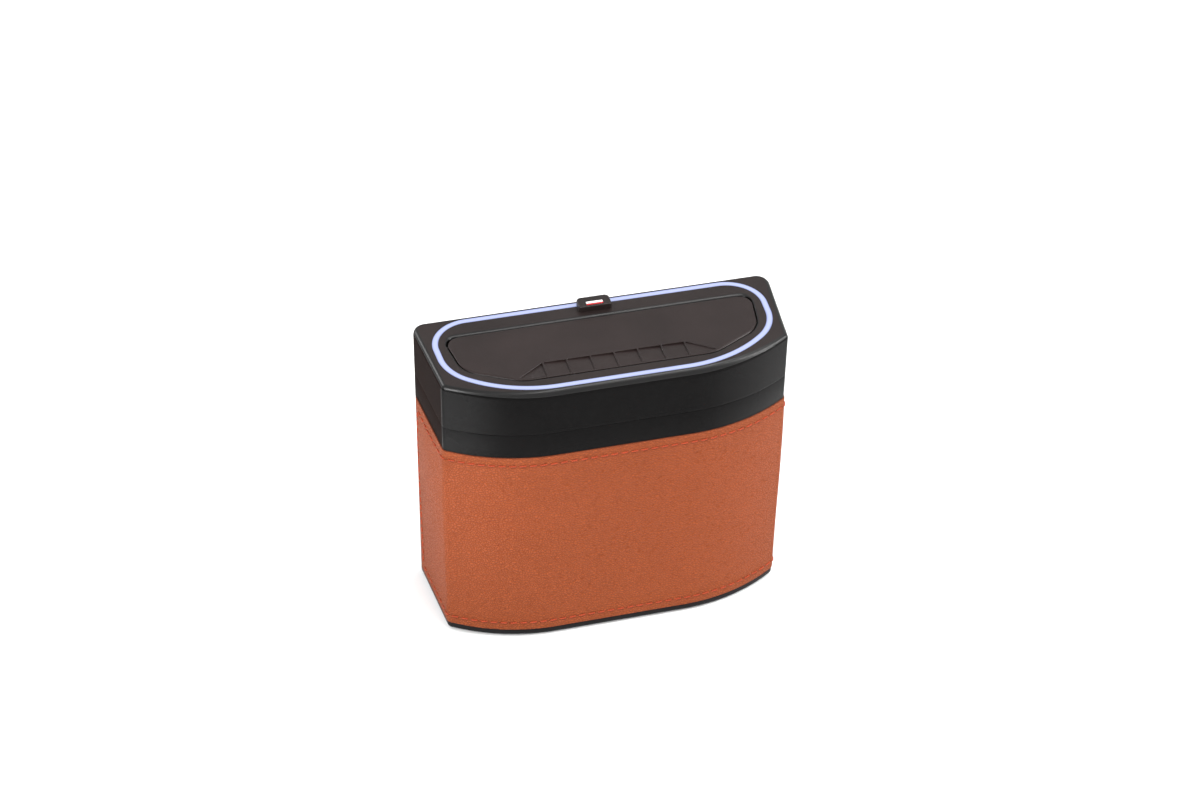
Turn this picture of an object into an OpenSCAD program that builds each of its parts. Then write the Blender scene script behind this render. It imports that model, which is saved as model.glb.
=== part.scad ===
// Car trash bin: a slim leather-wrapped bucket with a lift-off black cover, a hinged lid flap
// and a light ring round the lid. All sizes are millimetres, +Z up, +Y towards the back.
// The origin is the middle of the base on the surface that the bin stands on.

/* [Body] */
// Width across the back
bin_w = 240; // [228:1:256]
// Depth from back to front
bin_d = 89.5; // [86:0.5:98]
// Height of the top face above the surface it stands on
bin_h = 206; // [195:1:225]
// How far each side leans in from the back corner to the front corner
side_lean = 6.7; // [4:0.1:9]
// How far the side corners lie behind the front face
corner_back = 21.8; // [19:0.2:26]
// How far each end of the front curves, along the width
front_run = 69.6; // [64:0.1:76]
// Plan radius of the back corners
back_r = 9; // [7:0.5:11]
// Plan radius of the side corners
side_r = 4.5; // [4.5:0.5:9]
// Thickness of the bucket's wall
bucket_wall = 2.2; // [1.8:0.1:2.8]
// Thickness of the bucket's floor
floor_t = 2.6; // [2:0.1:4]
// Height of the plain band under the leather
band_h = 6; // [4:0.5:9]
// Radius of the band's lower edge
band_r = 3; // [2:0.5:4]

/* [Leather] */
// Thickness of the leather
wrap_t = 1.3; // [1:0.1:1.8]
// How far the leather swells out on the side facets
wrap_swell = 2.6; // [0:0.2:4]
// Distance from the back face to the ends of the leather
wrap_end = 10.5; // [10:0.5:16]
// Spacing of the stitches
stitch_pitch = 6.6; // [6:0.2:10]
// Length of a stitch
stitch_len = 4.6; // [3:0.2:5.4]
// Radius of the thread
stitch_r = 0.45; // [0.3:0.05:0.6]
// Distance of the seam from the leather's edge
stitch_edge = 6.5; // [4:0.5:9]

/* [Cover] */
// Height of the cover from the seam to its top face
cover_h = 32.7; // [30:0.1:38]
// Height of the plain collar between the leather and the seam
collar_h = 18.1; // [14:0.1:24]
// Step from the leather's face in to the black faces
cover_step = 0.5; // [0.2:0.1:0.9]
// Thickness of the cover's walls
cover_wall = 2.4; // [2:0.1:3]
// Thickness of the cover's top
top_t = 3.2; // [3:0.1:4]
// Width of the rounded shoulder at the front
shoulder_w = 3.6; // [3:0.1:3.7]
// Height of the rounded shoulder at the front
shoulder_h = 6.5; // [5:0.5:10]
// Width and height of the rounding on the sides
edge_round = 3; // [2.4:0.1:3.4]
// Width and height of the rounding at the back
back_round = 1.6; // [1.2:0.1:1.9]

/* [Lid] */
// Distance from the back face to the gap behind the flap
flap_back = 19.8; // [19.5:0.1:22]
// Distance from the front face to the gap in front of the flap
flap_front = 15.65; // [15:0.05:18]
// Distance from the middle of the light ring in to the flap's side
flap_ring = 6.1; // [5.6:0.1:8]
// How much each side of the flap leans in from its back to its side corner
flap_taper = 5.4; // [4.5:0.1:7]
// Distance from the front gap back to the side corners
flap_side = 18; // [16:0.1:20]
// How far the flap's front reaches past the flat of the bin's front
flap_reach = 19; // [15:0.1:22]
// Width of the gap round the flap
flap_gap = 0.8; // [0.6:0.1:1]
// Thickness of the flap
flap_t = 2.4; // [2.2:0.1:2.6]
// Distance of the hinge axis from the flap's back edge
hinge_in = 7.6; // [7.4:0.1:9]
// Depth of the hinge axis below the top face
hinge_drop = 2.6; // [2.4:0.1:2.7]
// Radius of the ears that turn on the hinge pins
ear_r = 2.2; // [2:0.1:2.3]
// Radius of the hinge pins
pin_r = 0.9; // [0.8:0.05:1]
// Running clearance between a hinge pin and the flap
pin_fit = 0.07; // [0.03:0.01:0.1]
// Length of the grip's pointed ends
grip_tip = 18.2; // [16:0.1:21]
// Distance from the back edge of the grip to the front gap
grip_back = 15.8; // [13:0.1:17]
// Depth of the grip's steps
grip_depth = 0.8; // [0.4:0.1:1]

/* [Light] */
// Width of the light ring
ring_w = 3.8; // [3:0.1:4]
// Depth of the light ring
ring_t = 2; // [1.6:0.1:2.2]
// Distance from the back face to the middle of the ring
ring_back = 4.65; // [4.5:0.05:5.2]
// Distance from the front face to the middle of the ring
ring_front = 6.45; // [6.3:0.05:7.6]
// Distance from the bin's side to the middle of the ring
ring_side = 11.9; // [11:0.1:14]
// Width of the switch housing
switch_w = 21.6; // [20:0.2:26]
// Depth of the switch housing
switch_d = 10.6; // [10:0.1:11.4]
// Height of the switch housing
switch_h = 4; // [3.5:0.1:5]
// Width of the light button
button_w = 11.2; // [9:0.2:12]
// Depth of the light button
button_d = 3.6; // [3:0.1:4.2]

/* [Hanger] */
// Width of the hanger
hanger_w = 60; // [40:1:90]
// Height of the hanger's plate
hanger_h = 52; // [46:1:70]
// Gap between the hanger's hook and its plate
hanger_gap = 8; // [6:0.5:12]
// Thickness of the hanger
hanger_t = 2.4; // [2:0.1:3]
// Length of the hook that points down
hook_len = 34; // [28:1:38]

/* [Hidden] */
$fn = 40;
eps = 0.01;

// Levels above the surface
pad_t = 1;
pad_in = 14;
band_z = pad_t + band_h;
seam_z = bin_h - cover_h;
wrap_top = seam_z - collar_h;
wrap_h = wrap_top - band_z;
top_under = bin_h - top_t;

// Plan of the body
back_y = bin_d / 2;
front_y = -bin_d / 2;
corner_w = bin_w / 2 - side_lean;
corner_y = front_y + corner_back;
lean = atan(side_lean / (back_y - corner_y));
front_flat = corner_w - front_run;
front_r = (front_run * front_run + corner_back * corner_back) / (2 * corner_back);
body_plan = [bin_w / 2, lean, back_y, back_r, side_r, front_y, front_flat, front_r];

// Insets of the walls from the leather's face
bucket_out = wrap_t;
bucket_in = wrap_t + bucket_wall;
black_out = cover_step;
cover_in = cover_step + cover_wall;
slip = 0.3;

// Collar, lip and bag ring
collar_lap = 6;
lip_out = cover_in + slip;
lip_t = 1.6;
lip_in = lip_out + lip_t;
lip_h = 4;
bag_t = 1.4;
bag_drop = 11;
bag_in = lip_in + slip + bag_t;

// Light ring
ring_w_half = bin_w / 2 - ring_side;
ring_y_back = back_y - ring_back;
ring_y_front = front_y + ring_front;
ring_lean = 3;
ring_spread = 1.4;
ring_back_r = 0.27 * bin_d;
ring_side_r = 0.37 * bin_d;
ring_flat = front_flat - 1.7;
ring_bend = 0.688;
ring_plan = [
    ring_w_half + ring_spread, ring_lean, ring_y_back, ring_back_r, ring_side_r,
    ring_y_front, ring_flat, ring_bend * front_r
];

// Lid, hinge and frame
flap_w_back = ring_w_half - flap_ring;
flap_w_side = flap_w_back - flap_taper;
flap_w_front = front_flat + flap_reach;
gap_back_y = back_y - flap_back;
gap_front_y = front_y + flap_front;
flap_plan = [
    [flap_w_front, gap_front_y], [flap_w_side, gap_front_y + flap_side], [flap_w_back, gap_back_y],
    [-flap_w_back, gap_back_y], [-flap_w_side, gap_front_y + flap_side], [-flap_w_front, gap_front_y]
];
flap_radii = [22, 20, 9, 9, 20, 22];
open_radii = [22, 20, 7.5, 7.5, 20, 22];
half_gap = flap_gap / 2;
hinge_y = gap_back_y - half_gap - hinge_in;
hinge_z = bin_h - hinge_drop;
ear_len = 9;
ear_in = flap_w_back - ear_len;
pin_out = 2.6;
pin_end = flap_w_back + pin_out;
boss_h = 5;
boss_half = 4.5;
boss_len = 7;
frame_t = 2.4;
frame_low = top_under - frame_t;
frame_edge = cover_in + slip;
ledge = 4.5;
chute_t = 1.8;
chute_h = 14;
chute_z = top_under - chute_h;
chute_back = gap_back_y + half_gap + 0.4;
tail_play = 0.8;
tail_room = norm([hinge_in, hinge_drop]) + tail_play;
throat_plan = [
    [flap_w_front, gap_front_y], [flap_w_side, gap_front_y + flap_side],
    [flap_w_back, chute_back + ledge], [-flap_w_back, chute_back + ledge],
    [-flap_w_side, gap_front_y + flap_side], [-flap_w_front, gap_front_y]
];
rib_t = 1.4;
rib_h = 2.2;
rib_in = ledge + 1.5;

// Frame screws, between the flap's gap and the ring
screw_y_back = (gap_back_y + ring_y_back - ring_w / 2) / 2;
screw_y_front = (gap_front_y + ring_y_front + ring_w / 2) / 2;
screw_r = 0.95;
screw_hole = 1.05;
screw_head = 1.9;
screw_head_t = 1.3;
screw_bite = 2.2;
screw_mid = 25;
screw_end = flap_w_back - 16;
screw_fore = front_flat - 3.7;
screw_spots = [
    [screw_mid, screw_y_back], [-screw_mid, screw_y_back],
    [screw_end, screw_y_back - 1], [-screw_end, screw_y_back - 1],
    [screw_fore, screw_y_front], [-screw_fore, screw_y_front]
];

// Switch, board and battery
switch_wall = 1.2;
switch_back = ring_y_back + ring_w / 2;
switch_front = switch_back - switch_d;
window_w = 16.4;
board_w = 40;
board_d = 14;
board_t = 1.2;
board_slip = 0.1;
board_y = back_y - frame_edge - 0.15 - board_d;
led_w = 3;
led_d = 3.4;
button_y = switch_front + switch_wall + 0.2 + button_d / 2;
button_fit = 0.15;
button_travel = 0.5;
button_flange = 1.3;
button_proud = 0.2;
stripe_d = 1.2;
tact_h = top_t + 0.3;
tray_t = 1.2;
battery_r = 5;
battery_len = 44;
battery_x = 31;
battery_y = chute_back + chute_t + 2 * slip + tray_t + battery_r;
battery_z = frame_low - battery_r;
lead_r = 0.6;
lead_gap = 4;
lead_z = frame_low - 1.5;
lead_x = 16;
lead_room = 1.2;

// Magnets and bumpers
magnet_r = 1.5;
magnet_t = 1.4;
magnet_x = 30;
magnet_y = gap_front_y + half_gap + ledge / 2 - 0.2;
bumper_r = 1.6;
bumper_t = top_t - flap_t;
bumper_x = (flap_w_front + flap_w_side) / 2 - 3.6;
bumper_y = gap_front_y + 2.9
    + flap_side * (bumper_x - flap_w_front) / (flap_w_side - flap_w_front);

// Hanger
hanger_top = wrap_top - 4;
hanger_face = back_y - black_out;
hanger_screw_x = 18;
hanger_screw_z = hanger_top - hanger_h + 8;
hanger_screw_r = 1.5;
hanger_head_t = 1.6;

// Colours
black_plastic = "#1d1c1c";
dark_plastic = "#2b2827";
leather_tan = "#b8552f";
thread_tan = "#c8602f";
ring_white = "#c9d2f5";
board_green = "#1f5a38";
steel = "#b9bcc0";

// Points of an arc round c, from angle a to angle b
function arc(c, r, a, b, n) = [for (i = [0:n]) c + r * [cos(a + (b - a) * i / n), sin(a + (b - a) * i / n)]];

// Plan p: half width at the back, lean of the sides, back, back radius, side radius,
// front, half of the front flat, radius of the front's side arcs. d moves the line inwards.
function side_normal(p) = [cos(p[1]), -sin(p[1])];
function side_along(p) = [-sin(p[1]), -cos(p[1])];
function side_reach(p) = side_normal(p) * [p[0], p[2]];
function front_centre(p) = [p[6], p[5] + p[7]];
function corner_r(p, k, d) = max(p[k] - d, 0.6);
function back_centre(p, d) =
    let (r = corner_r(p, 3, d), y = p[2] - d - r)
    [(side_reach(p) - d - r + sin(p[1]) * y) / cos(p[1]), y];
function side_centre(p, d) =
    let (
        r = corner_r(p, 4, d),
        b = (side_reach(p) - d - r) * side_normal(p),
        w = b - front_centre(p),
        u = side_along(p),
        q = p[7] - d - r
    )
    b + (-(w * u) + sqrt(pow(w * u, 2) - w * w + q * q)) * u;
function angle_of(v) = atan2(v[1], v[0]);
function back_part(p, d) = arc(back_centre(p, d), corner_r(p, 3, d), 90, -p[1], 7);
function front_part(p, d) =
    let (k = side_centre(p, d), c = front_centre(p), a = angle_of(k - c))
    concat(
        arc(k, corner_r(p, 4, d), -p[1], a, 4),
        [for (i = [1:11]) c + (p[7] - d) * [cos(a + (-90 - a) * i / 11), sin(a + (-90 - a) * i / 11)]]
    );
function right_half(p, d) = concat(back_part(p, d), front_part(p, d));
function flipped(pts) = [for (i = [len(pts) - 1:-1:0]) [-pts[i][0], pts[i][1]]];
function whole(half) = concat(half, flipped(half));
function plan(d) = whole(right_half(body_plan, d));

// A convex outline through pts, moved inwards by d, with its corners rounded
function unit(v) = v / norm(v);
function edge_out(a, b) = let (e = unit(b - a)) [e[1], -e[0]];
function rounded(pts, radii, d) = [
    for (i = [0:len(pts) - 1])
    let (
        n = len(pts),
        n1 = edge_out(pts[(i + n - 1) % n], pts[i]),
        n2 = edge_out(pts[i], pts[(i + 1) % n]),
        r = max(radii[i] - d, 0.4),
        k = pts[i] - (d + r) * (n1 + n2) / (1 + n1 * n2),
        a = angle_of(n1),
        turn = acos(min(1, n1 * n2))
    )
    for (s = [0:6]) k + r * [cos(a + turn * s / 6), sin(a + turn * s / 6)]
];

module slab(pts, z0, z1) {
    translate([0, 0, z0])
        linear_extrude(z1 - z0)
            polygon(pts);
}

module band(outer, inner, z0, z1) {
    difference() {
        slab(outer, z0, z1);
        slab(inner, z0 - 1, z1 + 1);
    }
}

// A solid between stacked rings that have the same number of points
module loft(rings) {
    n = len(rings[0]);
    m = len(rings);
    polyhedron(
        points = [for (ring = rings) for (q = ring) q],
        faces = concat(
            [[for (i = [n - 1:-1:0]) i]],
            [[for (i = [0:n - 1]) (m - 1) * n + i]],
            [for (j = [0:m - 2]) for (i = [0:n - 1])
                [j * n + i, j * n + (i + 1) % n, (j + 1) * n + (i + 1) % n, (j + 1) * n + i]]
        )
    );
}

module behind(y, z0, z1) {
    translate([-bin_w, y, z0])
        cube([2 * bin_w, bin_w, z1 - z0]);
}

module along_x(x0, x1, y, z, r) {
    translate([x0, y, z])
        rotate([0, 90, 0])
            cylinder(r = r, h = x1 - x0);
}

module two_sided() {
    children();
    mirror([1, 0, 0])
        children();
}

module hanger_screw_holes(r) {
    for (x = [-hanger_screw_x, hanger_screw_x])
        translate([x, hanger_face + hanger_t + 1, hanger_screw_z])
            rotate([90, 0, 0])
                cylinder(r = r, h = hanger_t + 1 + bucket_wall);
}

// Level and inset of the band's rounded lower edge, from the bottom up
function at_level(pts, z) = [for (q = pts) [q[0], q[1], z]];
function band_ring(a) =
    at_level(plan(black_out + band_r * (1 - cos(a))), pad_t + band_r * (1 - sin(a)));

module bucket() {
    color(black_plastic)
        difference() {
            union() {
                loft(concat(
                    [for (a = [90:-15:0]) band_ring(a)],
                    [at_level(plan(black_out), band_z)]
                ));
                slab(plan(bucket_out), band_z - eps, wrap_top + collar_lap);
                intersection() {
                    slab(plan(black_out), band_z - eps, wrap_top);
                    behind(back_y - wrap_end + 0.4, band_z - 1, wrap_top + 1);
                }
            }
            slab(plan(bucket_in), pad_t + floor_t, wrap_top + collar_lap + 1);
            hanger_screw_holes(hanger_screw_r + 0.1);
        }
}

module anti_slip_pad() {
    color(dark_plastic)
        slab(plan(pad_in), 0, pad_t);
}

// Half of the leather's path, from its end near the back corner to the middle of the front
function side_point(p, d, y) = [(side_reach(p) - d + sin(p[1]) * y) / cos(p[1]), y];
side_steps = 8;
side_start = back_y - wrap_end;
side_stop = side_centre(body_plan, 0)[1];
function wrap_half(d) = concat(
    [for (i = [0:side_steps - 1])
        side_point(body_plan, d, side_start + (side_stop - side_start) * i / side_steps)],
    front_part(body_plan, d)
);
function wrap_line(d) = whole(wrap_half(d));

// The swelling fades out at the ends of a side facet and towards the bottom
function fade(t) = t <= 0 || t >= 1 ? 0 : pow(sin(180 * t), 0.8);
function side_share(y) = fade((side_start - y) / (side_start - side_stop + 4));
function height_share(t) = fade(pow(t, 2.2));
wrap_levels = [0, 0.12, 0.28, 0.44, 0.58, 0.7, 0.8, 0.9, 1];
wrap_flat = wrap_line(0);
function wrap_outer(t) = [
    for (i = [0:len(wrap_flat) - 1])
    let (
        q = wrap_flat[i],
        s = sign(q[0]),
        n = side_normal(body_plan),
        out = q[1] > side_stop - 4 ? wrap_swell * side_share(q[1]) * height_share(t) : 0
    )
    [q[0] + s * n[0] * out, q[1] + n[1] * out, band_z + wrap_h * t]
];

module leather_wrap() {
    inner = wrap_line(wrap_t);
    n = len(inner);
    m = len(wrap_levels);
    points = concat(
        [for (t = wrap_levels) for (q = wrap_outer(t)) q],
        [for (t = wrap_levels) for (q = inner) [q[0], q[1], band_z + wrap_h * t]]
    );
    k = n * m;
    color(leather_tan)
        polyhedron(
            points = points,
            faces = concat(
                [for (j = [0:m - 2]) for (i = [0:n - 2])
                    [j * n + i, (j + 1) * n + i, (j + 1) * n + i + 1, j * n + i + 1]],
                [for (j = [0:m - 2]) for (i = [0:n - 2])
                    [k + j * n + i, k + j * n + i + 1, k + (j + 1) * n + i + 1, k + (j + 1) * n + i]],
                [for (i = [0:n - 2]) [i, i + 1, k + i + 1, k + i]],
                [for (i = [0:n - 2])
                    [(m - 1) * n + i, k + (m - 1) * n + i, k + (m - 1) * n + i + 1, (m - 1) * n + i + 1]],
                [for (j = [0:m - 2]) [j * n, k + j * n, k + (j + 1) * n, (j + 1) * n]],
                [for (j = [0:m - 2])
                    [j * n + n - 1, (j + 1) * n + n - 1, k + (j + 1) * n + n - 1, k + j * n + n - 1]]
            )
        );
}

// Place and direction at a distance along a line of points
function lengths(pts) = [for (i = [0:len(pts) - 2]) norm(pts[i + 1] - pts[i])];
function running(v) = [for (i = 0, s = 0; i <= len(v); s = i < len(v) ? s + v[i] : s, i = i + 1) s];
function find_leg(marks, s) = max([for (i = [0:len(marks) - 2]) marks[i] <= s ? i : 0]);
function at_length(pts, marks, s) =
    let (i = find_leg(marks, s), f = (s - marks[i]) / (marks[i + 1] - marks[i]))
    pts[i] + f * (pts[i + 1] - pts[i]);

module stitch(from, to) {
    v = to - from;
    translate(from)
        rotate([0, acos(v[2] / norm(v)), atan2(v[1], v[0])])
            cylinder(r = stitch_r, h = norm(v), $fn = 16);
}

// One seam round the leather at share t of its height, and one up each end
module level_seam(t) {
    line = wrap_outer(t);
    marks = running(lengths(line));
    total = marks[len(marks) - 1];
    inset = stitch_edge - 1;
    count = floor((total - 2 * inset) / stitch_pitch);
    start = (total - count * stitch_pitch) / 2;
    for (i = [0:count - 1]) {
        s = start + i * stitch_pitch + (stitch_pitch - stitch_len) / 2;
        stitch(at_length(line, marks, s), at_length(line, marks, s + stitch_len));
    }
}

module end_seam() {
    y = side_start - stitch_edge + 1;
    low = band_z + stitch_edge + stitch_pitch / 2;
    count = floor((wrap_h - 2 * stitch_edge) / stitch_pitch) - 1;
    function place(z) =
        let (
            t = (z - band_z) / wrap_h,
            q = side_point(body_plan, 0, y),
            out = wrap_swell * side_share(y) * height_share(t)
        )
        [q[0] + side_normal(body_plan)[0] * out, q[1] + side_normal(body_plan)[1] * out, z];
    for (i = [0:count])
        stitch(place(low + i * stitch_pitch), place(low + i * stitch_pitch + stitch_len));
}

module wrap_stitching() {
    color(thread_tan) {
        level_seam(stitch_edge / wrap_h);
        level_seam(1 - stitch_edge / wrap_h);
        two_sided()
            end_seam();
    }
}

module rim_collar() {
    color(black_plastic)
        union() {
            band(plan(black_out), plan(bucket_out), wrap_top, wrap_top + collar_lap);
            band(plan(black_out), plan(bucket_in), wrap_top + collar_lap, seam_z - lip_h / 2);
            band(plan(black_out), plan(lip_in), seam_z - lip_h / 2 - eps, seam_z);
            band(plan(lip_out), plan(lip_in), seam_z - eps, seam_z + lip_h);
        }
}

module bag_ring() {
    color(dark_plastic)
        union() {
            band(plan(lip_out), plan(bag_in), seam_z + lip_h, seam_z + lip_h + bag_t);
            band(plan(bag_in - bag_t), plan(bag_in), seam_z + lip_h - bag_drop, seam_z + lip_h + eps);
        }
}

module hanger_hook() {
    y0 = hanger_face;
    y1 = y0 + hanger_t;
    y2 = y1 + hanger_gap;
    y3 = y2 + hanger_t;
    bottom = hanger_top - hanger_h;
    profile = [
        [y0, bottom], [y1, bottom], [y1, hanger_top - hanger_t], [y2, hanger_top - hanger_t],
        [y2, hanger_top - hook_len], [y3, hanger_top - hook_len], [y3, hanger_top - 2],
        [y3 - 2, hanger_top], [y0, hanger_top]
    ];
    color(dark_plastic)
        difference() {
            translate([-hanger_w / 2, 0, 0])
                rotate([90, 0, 90])
                    linear_extrude(hanger_w)
                        polygon(profile);
            hanger_screw_holes(hanger_screw_r + 0.1);
        }
}

module hanger_screws() {
    color(steel)
        for (x = [-hanger_screw_x, hanger_screw_x])
            translate([x, hanger_face + hanger_t, hanger_screw_z])
                rotate([90, 0, 0]) {
                    translate([0, 0, -hanger_head_t])
                        cylinder(r = 2 * hanger_screw_r, h = hanger_head_t);
                    cylinder(r = hanger_screw_r, h = hanger_t + bucket_wall - 0.2);
                }
}

// The shoulder is high along the front and tightens at the side corners and along the back
function smooth(t) = let (c = min(1, max(0, t))) c * c * (3 - 2 * c);
function front_share(q) =
    q[1] > corner_y + 2 ? 0 : smooth((corner_w - abs(q[0])) / (corner_w - front_flat) * 1.1);
function back_share(q) = smooth((q[1] - back_y + back_r) / (back_r - black_out));
function round_side(q) = edge_round + (back_round - edge_round) * back_share(q);
function round_w(q) = round_side(q) + (shoulder_w - edge_round) * front_share(q);
function round_h(q) = round_side(q) + (shoulder_h - edge_round) * front_share(q);
cover_line = plan(black_out);
function cover_ring(a) = [
    for (i = [0:len(cover_line) - 1])
    let (w = round_w(cover_line[i]), h = round_h(cover_line[i]))
    concat(plan(black_out + w * (1 - cos(a)))[i], [bin_h - h * (1 - sin(a))])
];

module flap_opening(z0, z1) {
    slab(rounded(flap_plan, open_radii, -half_gap), z0, z1);
}

module ring_band(w, z0, z1) {
    difference() {
        band(
            whole(right_half(ring_plan, -w / 2)), whole(right_half(ring_plan, w / 2)), z0, z1
        );
        translate([-window_w / 2, ring_y_back - ring_w, z0 - 1])
            cube([window_w, 2 * ring_w, z1 - z0 + 2]);
    }
}

module board_window(z0, z1) {
    translate([-window_w / 2, switch_front + switch_wall, z0])
        cube([window_w, switch_d - 2 * switch_wall, z1 - z0]);
}

module frame_screw_holes(r, z0, z1) {
    for (s = screw_spots)
        translate([s[0], s[1], z0])
            cylinder(r = r, h = z1 - z0);
}

module hinge_boss(grow) {
    translate([flap_w_back - 0.5 - grow, hinge_y - boss_half - grow, top_under - boss_h - grow])
        cube([boss_len + 2 * grow, 2 * boss_half + 2 * grow, boss_h + grow]);
}

module top_cover() {
    color(black_plastic)
        difference() {
            union() {
                difference() {
                    loft(concat(
                        [at_level(cover_line, seam_z)],
                        [for (a = [0:15:90]) cover_ring(a)]
                    ));
                    slab(plan(cover_in), seam_z - 1, top_under);
                }
                two_sided()
                    hinge_boss(0);
            }
            flap_opening(top_under - boss_h - 1, bin_h + 1);
            ring_band(ring_w, bin_h - ring_t, bin_h + 1);
            board_window(top_under - 1, bin_h + 1);
            frame_screw_holes(screw_hole, top_under - 1, top_under + screw_bite + 0.2);
            two_sided()
                along_x(flap_w_back - 3, pin_end + 0.2, hinge_y, hinge_z, pin_r);
        }
}

module light_ring() {
    color(ring_white)
        ring_band(ring_w, bin_h - ring_t, bin_h);
}

module lid_frame() {
    color(dark_plastic)
        difference() {
            union() {
                slab(plan(frame_edge), frame_low, top_under);
                slab(rounded(throat_plan, flap_radii, ledge - chute_t), chute_z, top_under);
                battery_tray();
            }
            slab(rounded(throat_plan, flap_radii, ledge), chute_z - 1, top_under + 1);
            tail_slot();
            two_sided()
                hinge_boss(slip);
            translate([-board_w / 2 - board_slip, board_y - board_slip, top_under - board_t])
                cube([board_w + 2 * board_slip, 2 * board_d, board_t + 1]);
            translate([lead_x - lead_gap / 2, battery_y - lead_gap, frame_low - 1])
                cube([lead_gap, 2 * lead_gap, frame_t + 2]);
            frame_screw_holes(screw_hole, frame_low - 1, top_under + 1);
            for (x = [-magnet_x, magnet_x])
                translate([x, magnet_y, top_under - magnet_t])
                    cylinder(r = magnet_r, h = magnet_t + 1);
        }
}

// Room for the flap's tail, which dips as the flap opens
module tail_slot() {
    w = flap_w_back + half_gap;
    translate([-w, hinge_y - ear_r - tail_play, hinge_z - tail_room])
        cube([2 * w, chute_back - hinge_y + ear_r + tail_play, tail_room + hinge_drop]);
}

module battery_tray() {
    x0 = battery_x - tray_t - slip;
    y0 = battery_y - battery_r - tray_t - slip;
    w = battery_len + 2 * (tray_t + slip);
    d = 2 * (battery_r + tray_t + slip);
    z0 = battery_z - battery_r;
    difference() {
        translate([x0, y0, z0])
            cube([w, d, frame_low - z0 + eps]);
        translate([battery_x - slip, battery_y - battery_r - slip, z0 - 1])
            cube([battery_len + 2 * slip, 2 * (battery_r + slip), frame_low - z0 + 1]);
        translate([x0 - 1, battery_y - lead_gap, lead_z - lead_room])
            cube([tray_t + 2, 2 * lead_gap, frame_low - lead_z + lead_room + eps]);
    }
}

module frame_screws() {
    color(steel)
        for (s = screw_spots)
            translate([s[0], s[1], frame_low - screw_head_t]) {
                cylinder(r = screw_head, h = screw_head_t);
                cylinder(r = screw_r, h = screw_head_t + frame_t + screw_bite);
            }
}

module hinge_pin() {
    along_x(ear_in + 0.5, pin_end, hinge_y, hinge_z, pin_r);
}

module hinge_pin_left() {
    color(steel)
        mirror([1, 0, 0])
            hinge_pin();
}

module hinge_pin_right() {
    color(steel)
        hinge_pin();
}

module switch_housing() {
    x = switch_w / 2;
    outline = [
        [x, switch_front], [x, switch_back], [-x, switch_back], [-x, switch_front]
    ];
    color(black_plastic)
        difference() {
            slab(rounded(outline, [1.2, 3, 3, 1.2], 0), bin_h, bin_h + switch_h);
            slab(rounded(outline, [0.8, 2, 2, 0.8], switch_wall), bin_h - 1, bin_h + switch_h - switch_wall);
            translate([-button_w / 2, button_y - button_d / 2, bin_h])
                cube([button_w, button_d, switch_h + 1]);
        }
}

module led_board() {
    color(board_green)
        translate([-board_w / 2, board_y, top_under - board_t])
            cube([board_w, board_d, board_t]);
}

module leds() {
    color("#f4f2e6")
        for (x = [-window_w / 2 + 0.2, window_w / 2 - 0.2 - led_w])
            translate([x, switch_back - switch_wall - 0.2 - led_d, top_under])
                cube([led_w, led_d, top_t - 0.2]);
}

module tact_switch() {
    color(dark_plastic)
        union() {
            translate([-3, button_y - 1.6, top_under])
                cube([6, 3.2, tact_h - 0.6]);
            translate([0, button_y, top_under])
                cylinder(r = 1.2, h = tact_h);
        }
}

module battery() {
    color("#3d6fa8")
        along_x(battery_x, battery_x + battery_len, battery_y, battery_z, battery_r);
}

module battery_door() {
    color(dark_plastic)
        translate([
            battery_x - tray_t - slip, battery_y - battery_r - tray_t - slip,
            battery_z - battery_r - tray_t
        ])
            cube([battery_len + 2 * (tray_t + slip), 2 * (battery_r + tray_t + slip), tray_t]);
}

module battery_leads() {
    color("#8c2b22")
        for (dy = [0, 0.75 * lead_gap]) {
            along_x(lead_x, battery_x, battery_y + dy, lead_z, lead_r);
            translate([lead_x, battery_y + dy, lead_z])
                sphere(r = lead_r);
            translate([lead_x, battery_y + dy, lead_z])
                cylinder(r = lead_r, h = top_under - board_t - lead_z);
        }
}

module keeper_magnets() {
    color(steel)
        for (x = [-magnet_x, magnet_x])
            translate([x, magnet_y, top_under - magnet_t])
                cylinder(r = magnet_r, h = magnet_t);
}

module flap_magnets() {
    color(steel)
        for (x = [-magnet_x, magnet_x])
            translate([x, magnet_y, bin_h - flap_t])
                cylinder(r = magnet_r, h = magnet_t);
}

module lid_bumpers() {
    color(dark_plastic)
        for (x = [-bumper_x, bumper_x])
            translate([x, bumper_y, top_under])
                cylinder(r = bumper_r, h = bumper_t);
}

// One step of the grip: its floor falls towards the back and the right
module grip_cell(pts, x0, x1) {
    y0 = gap_front_y + half_gap;
    y1 = gap_front_y + grip_back;
    fall_y = atan(grip_depth / (y1 - y0));
    fall_x = atan(grip_depth * 0.7 / (x1 - x0));
    intersection() {
        slab(pts, bin_h - 2 * grip_depth, bin_h + 1);
        translate([x0, y0, bin_h])
            rotate([-fall_y, fall_x, 0])
                translate([-5, -5, 0])
                    cube([x1 - x0 + 10, grip_back + 10, 6]);
    }
}

module grip() {
    line = 0.35;
    y0 = gap_front_y + half_gap + 0.2;
    y1 = gap_front_y + grip_back;
    tip_x = flap_w_front + 1.7;
    tip_y = gap_front_y + 3.4;
    half = tip_x - grip_tip;
    pitch = half / 3;
    for (i = [-3:2]) {
        a = i * pitch + line;
        b = (i + 1) * pitch - line;
        grip_cell([[a, y0], [b, y0], [b, y1], [a, y1]], a, b);
    }
    grip_cell([[half + line, y0], [tip_x, tip_y], [half + line, y1]], half, tip_x);
    grip_cell([[-half - line, y0], [-half - line, y1], [-tip_x, tip_y]], -tip_x, -half);
}

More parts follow.
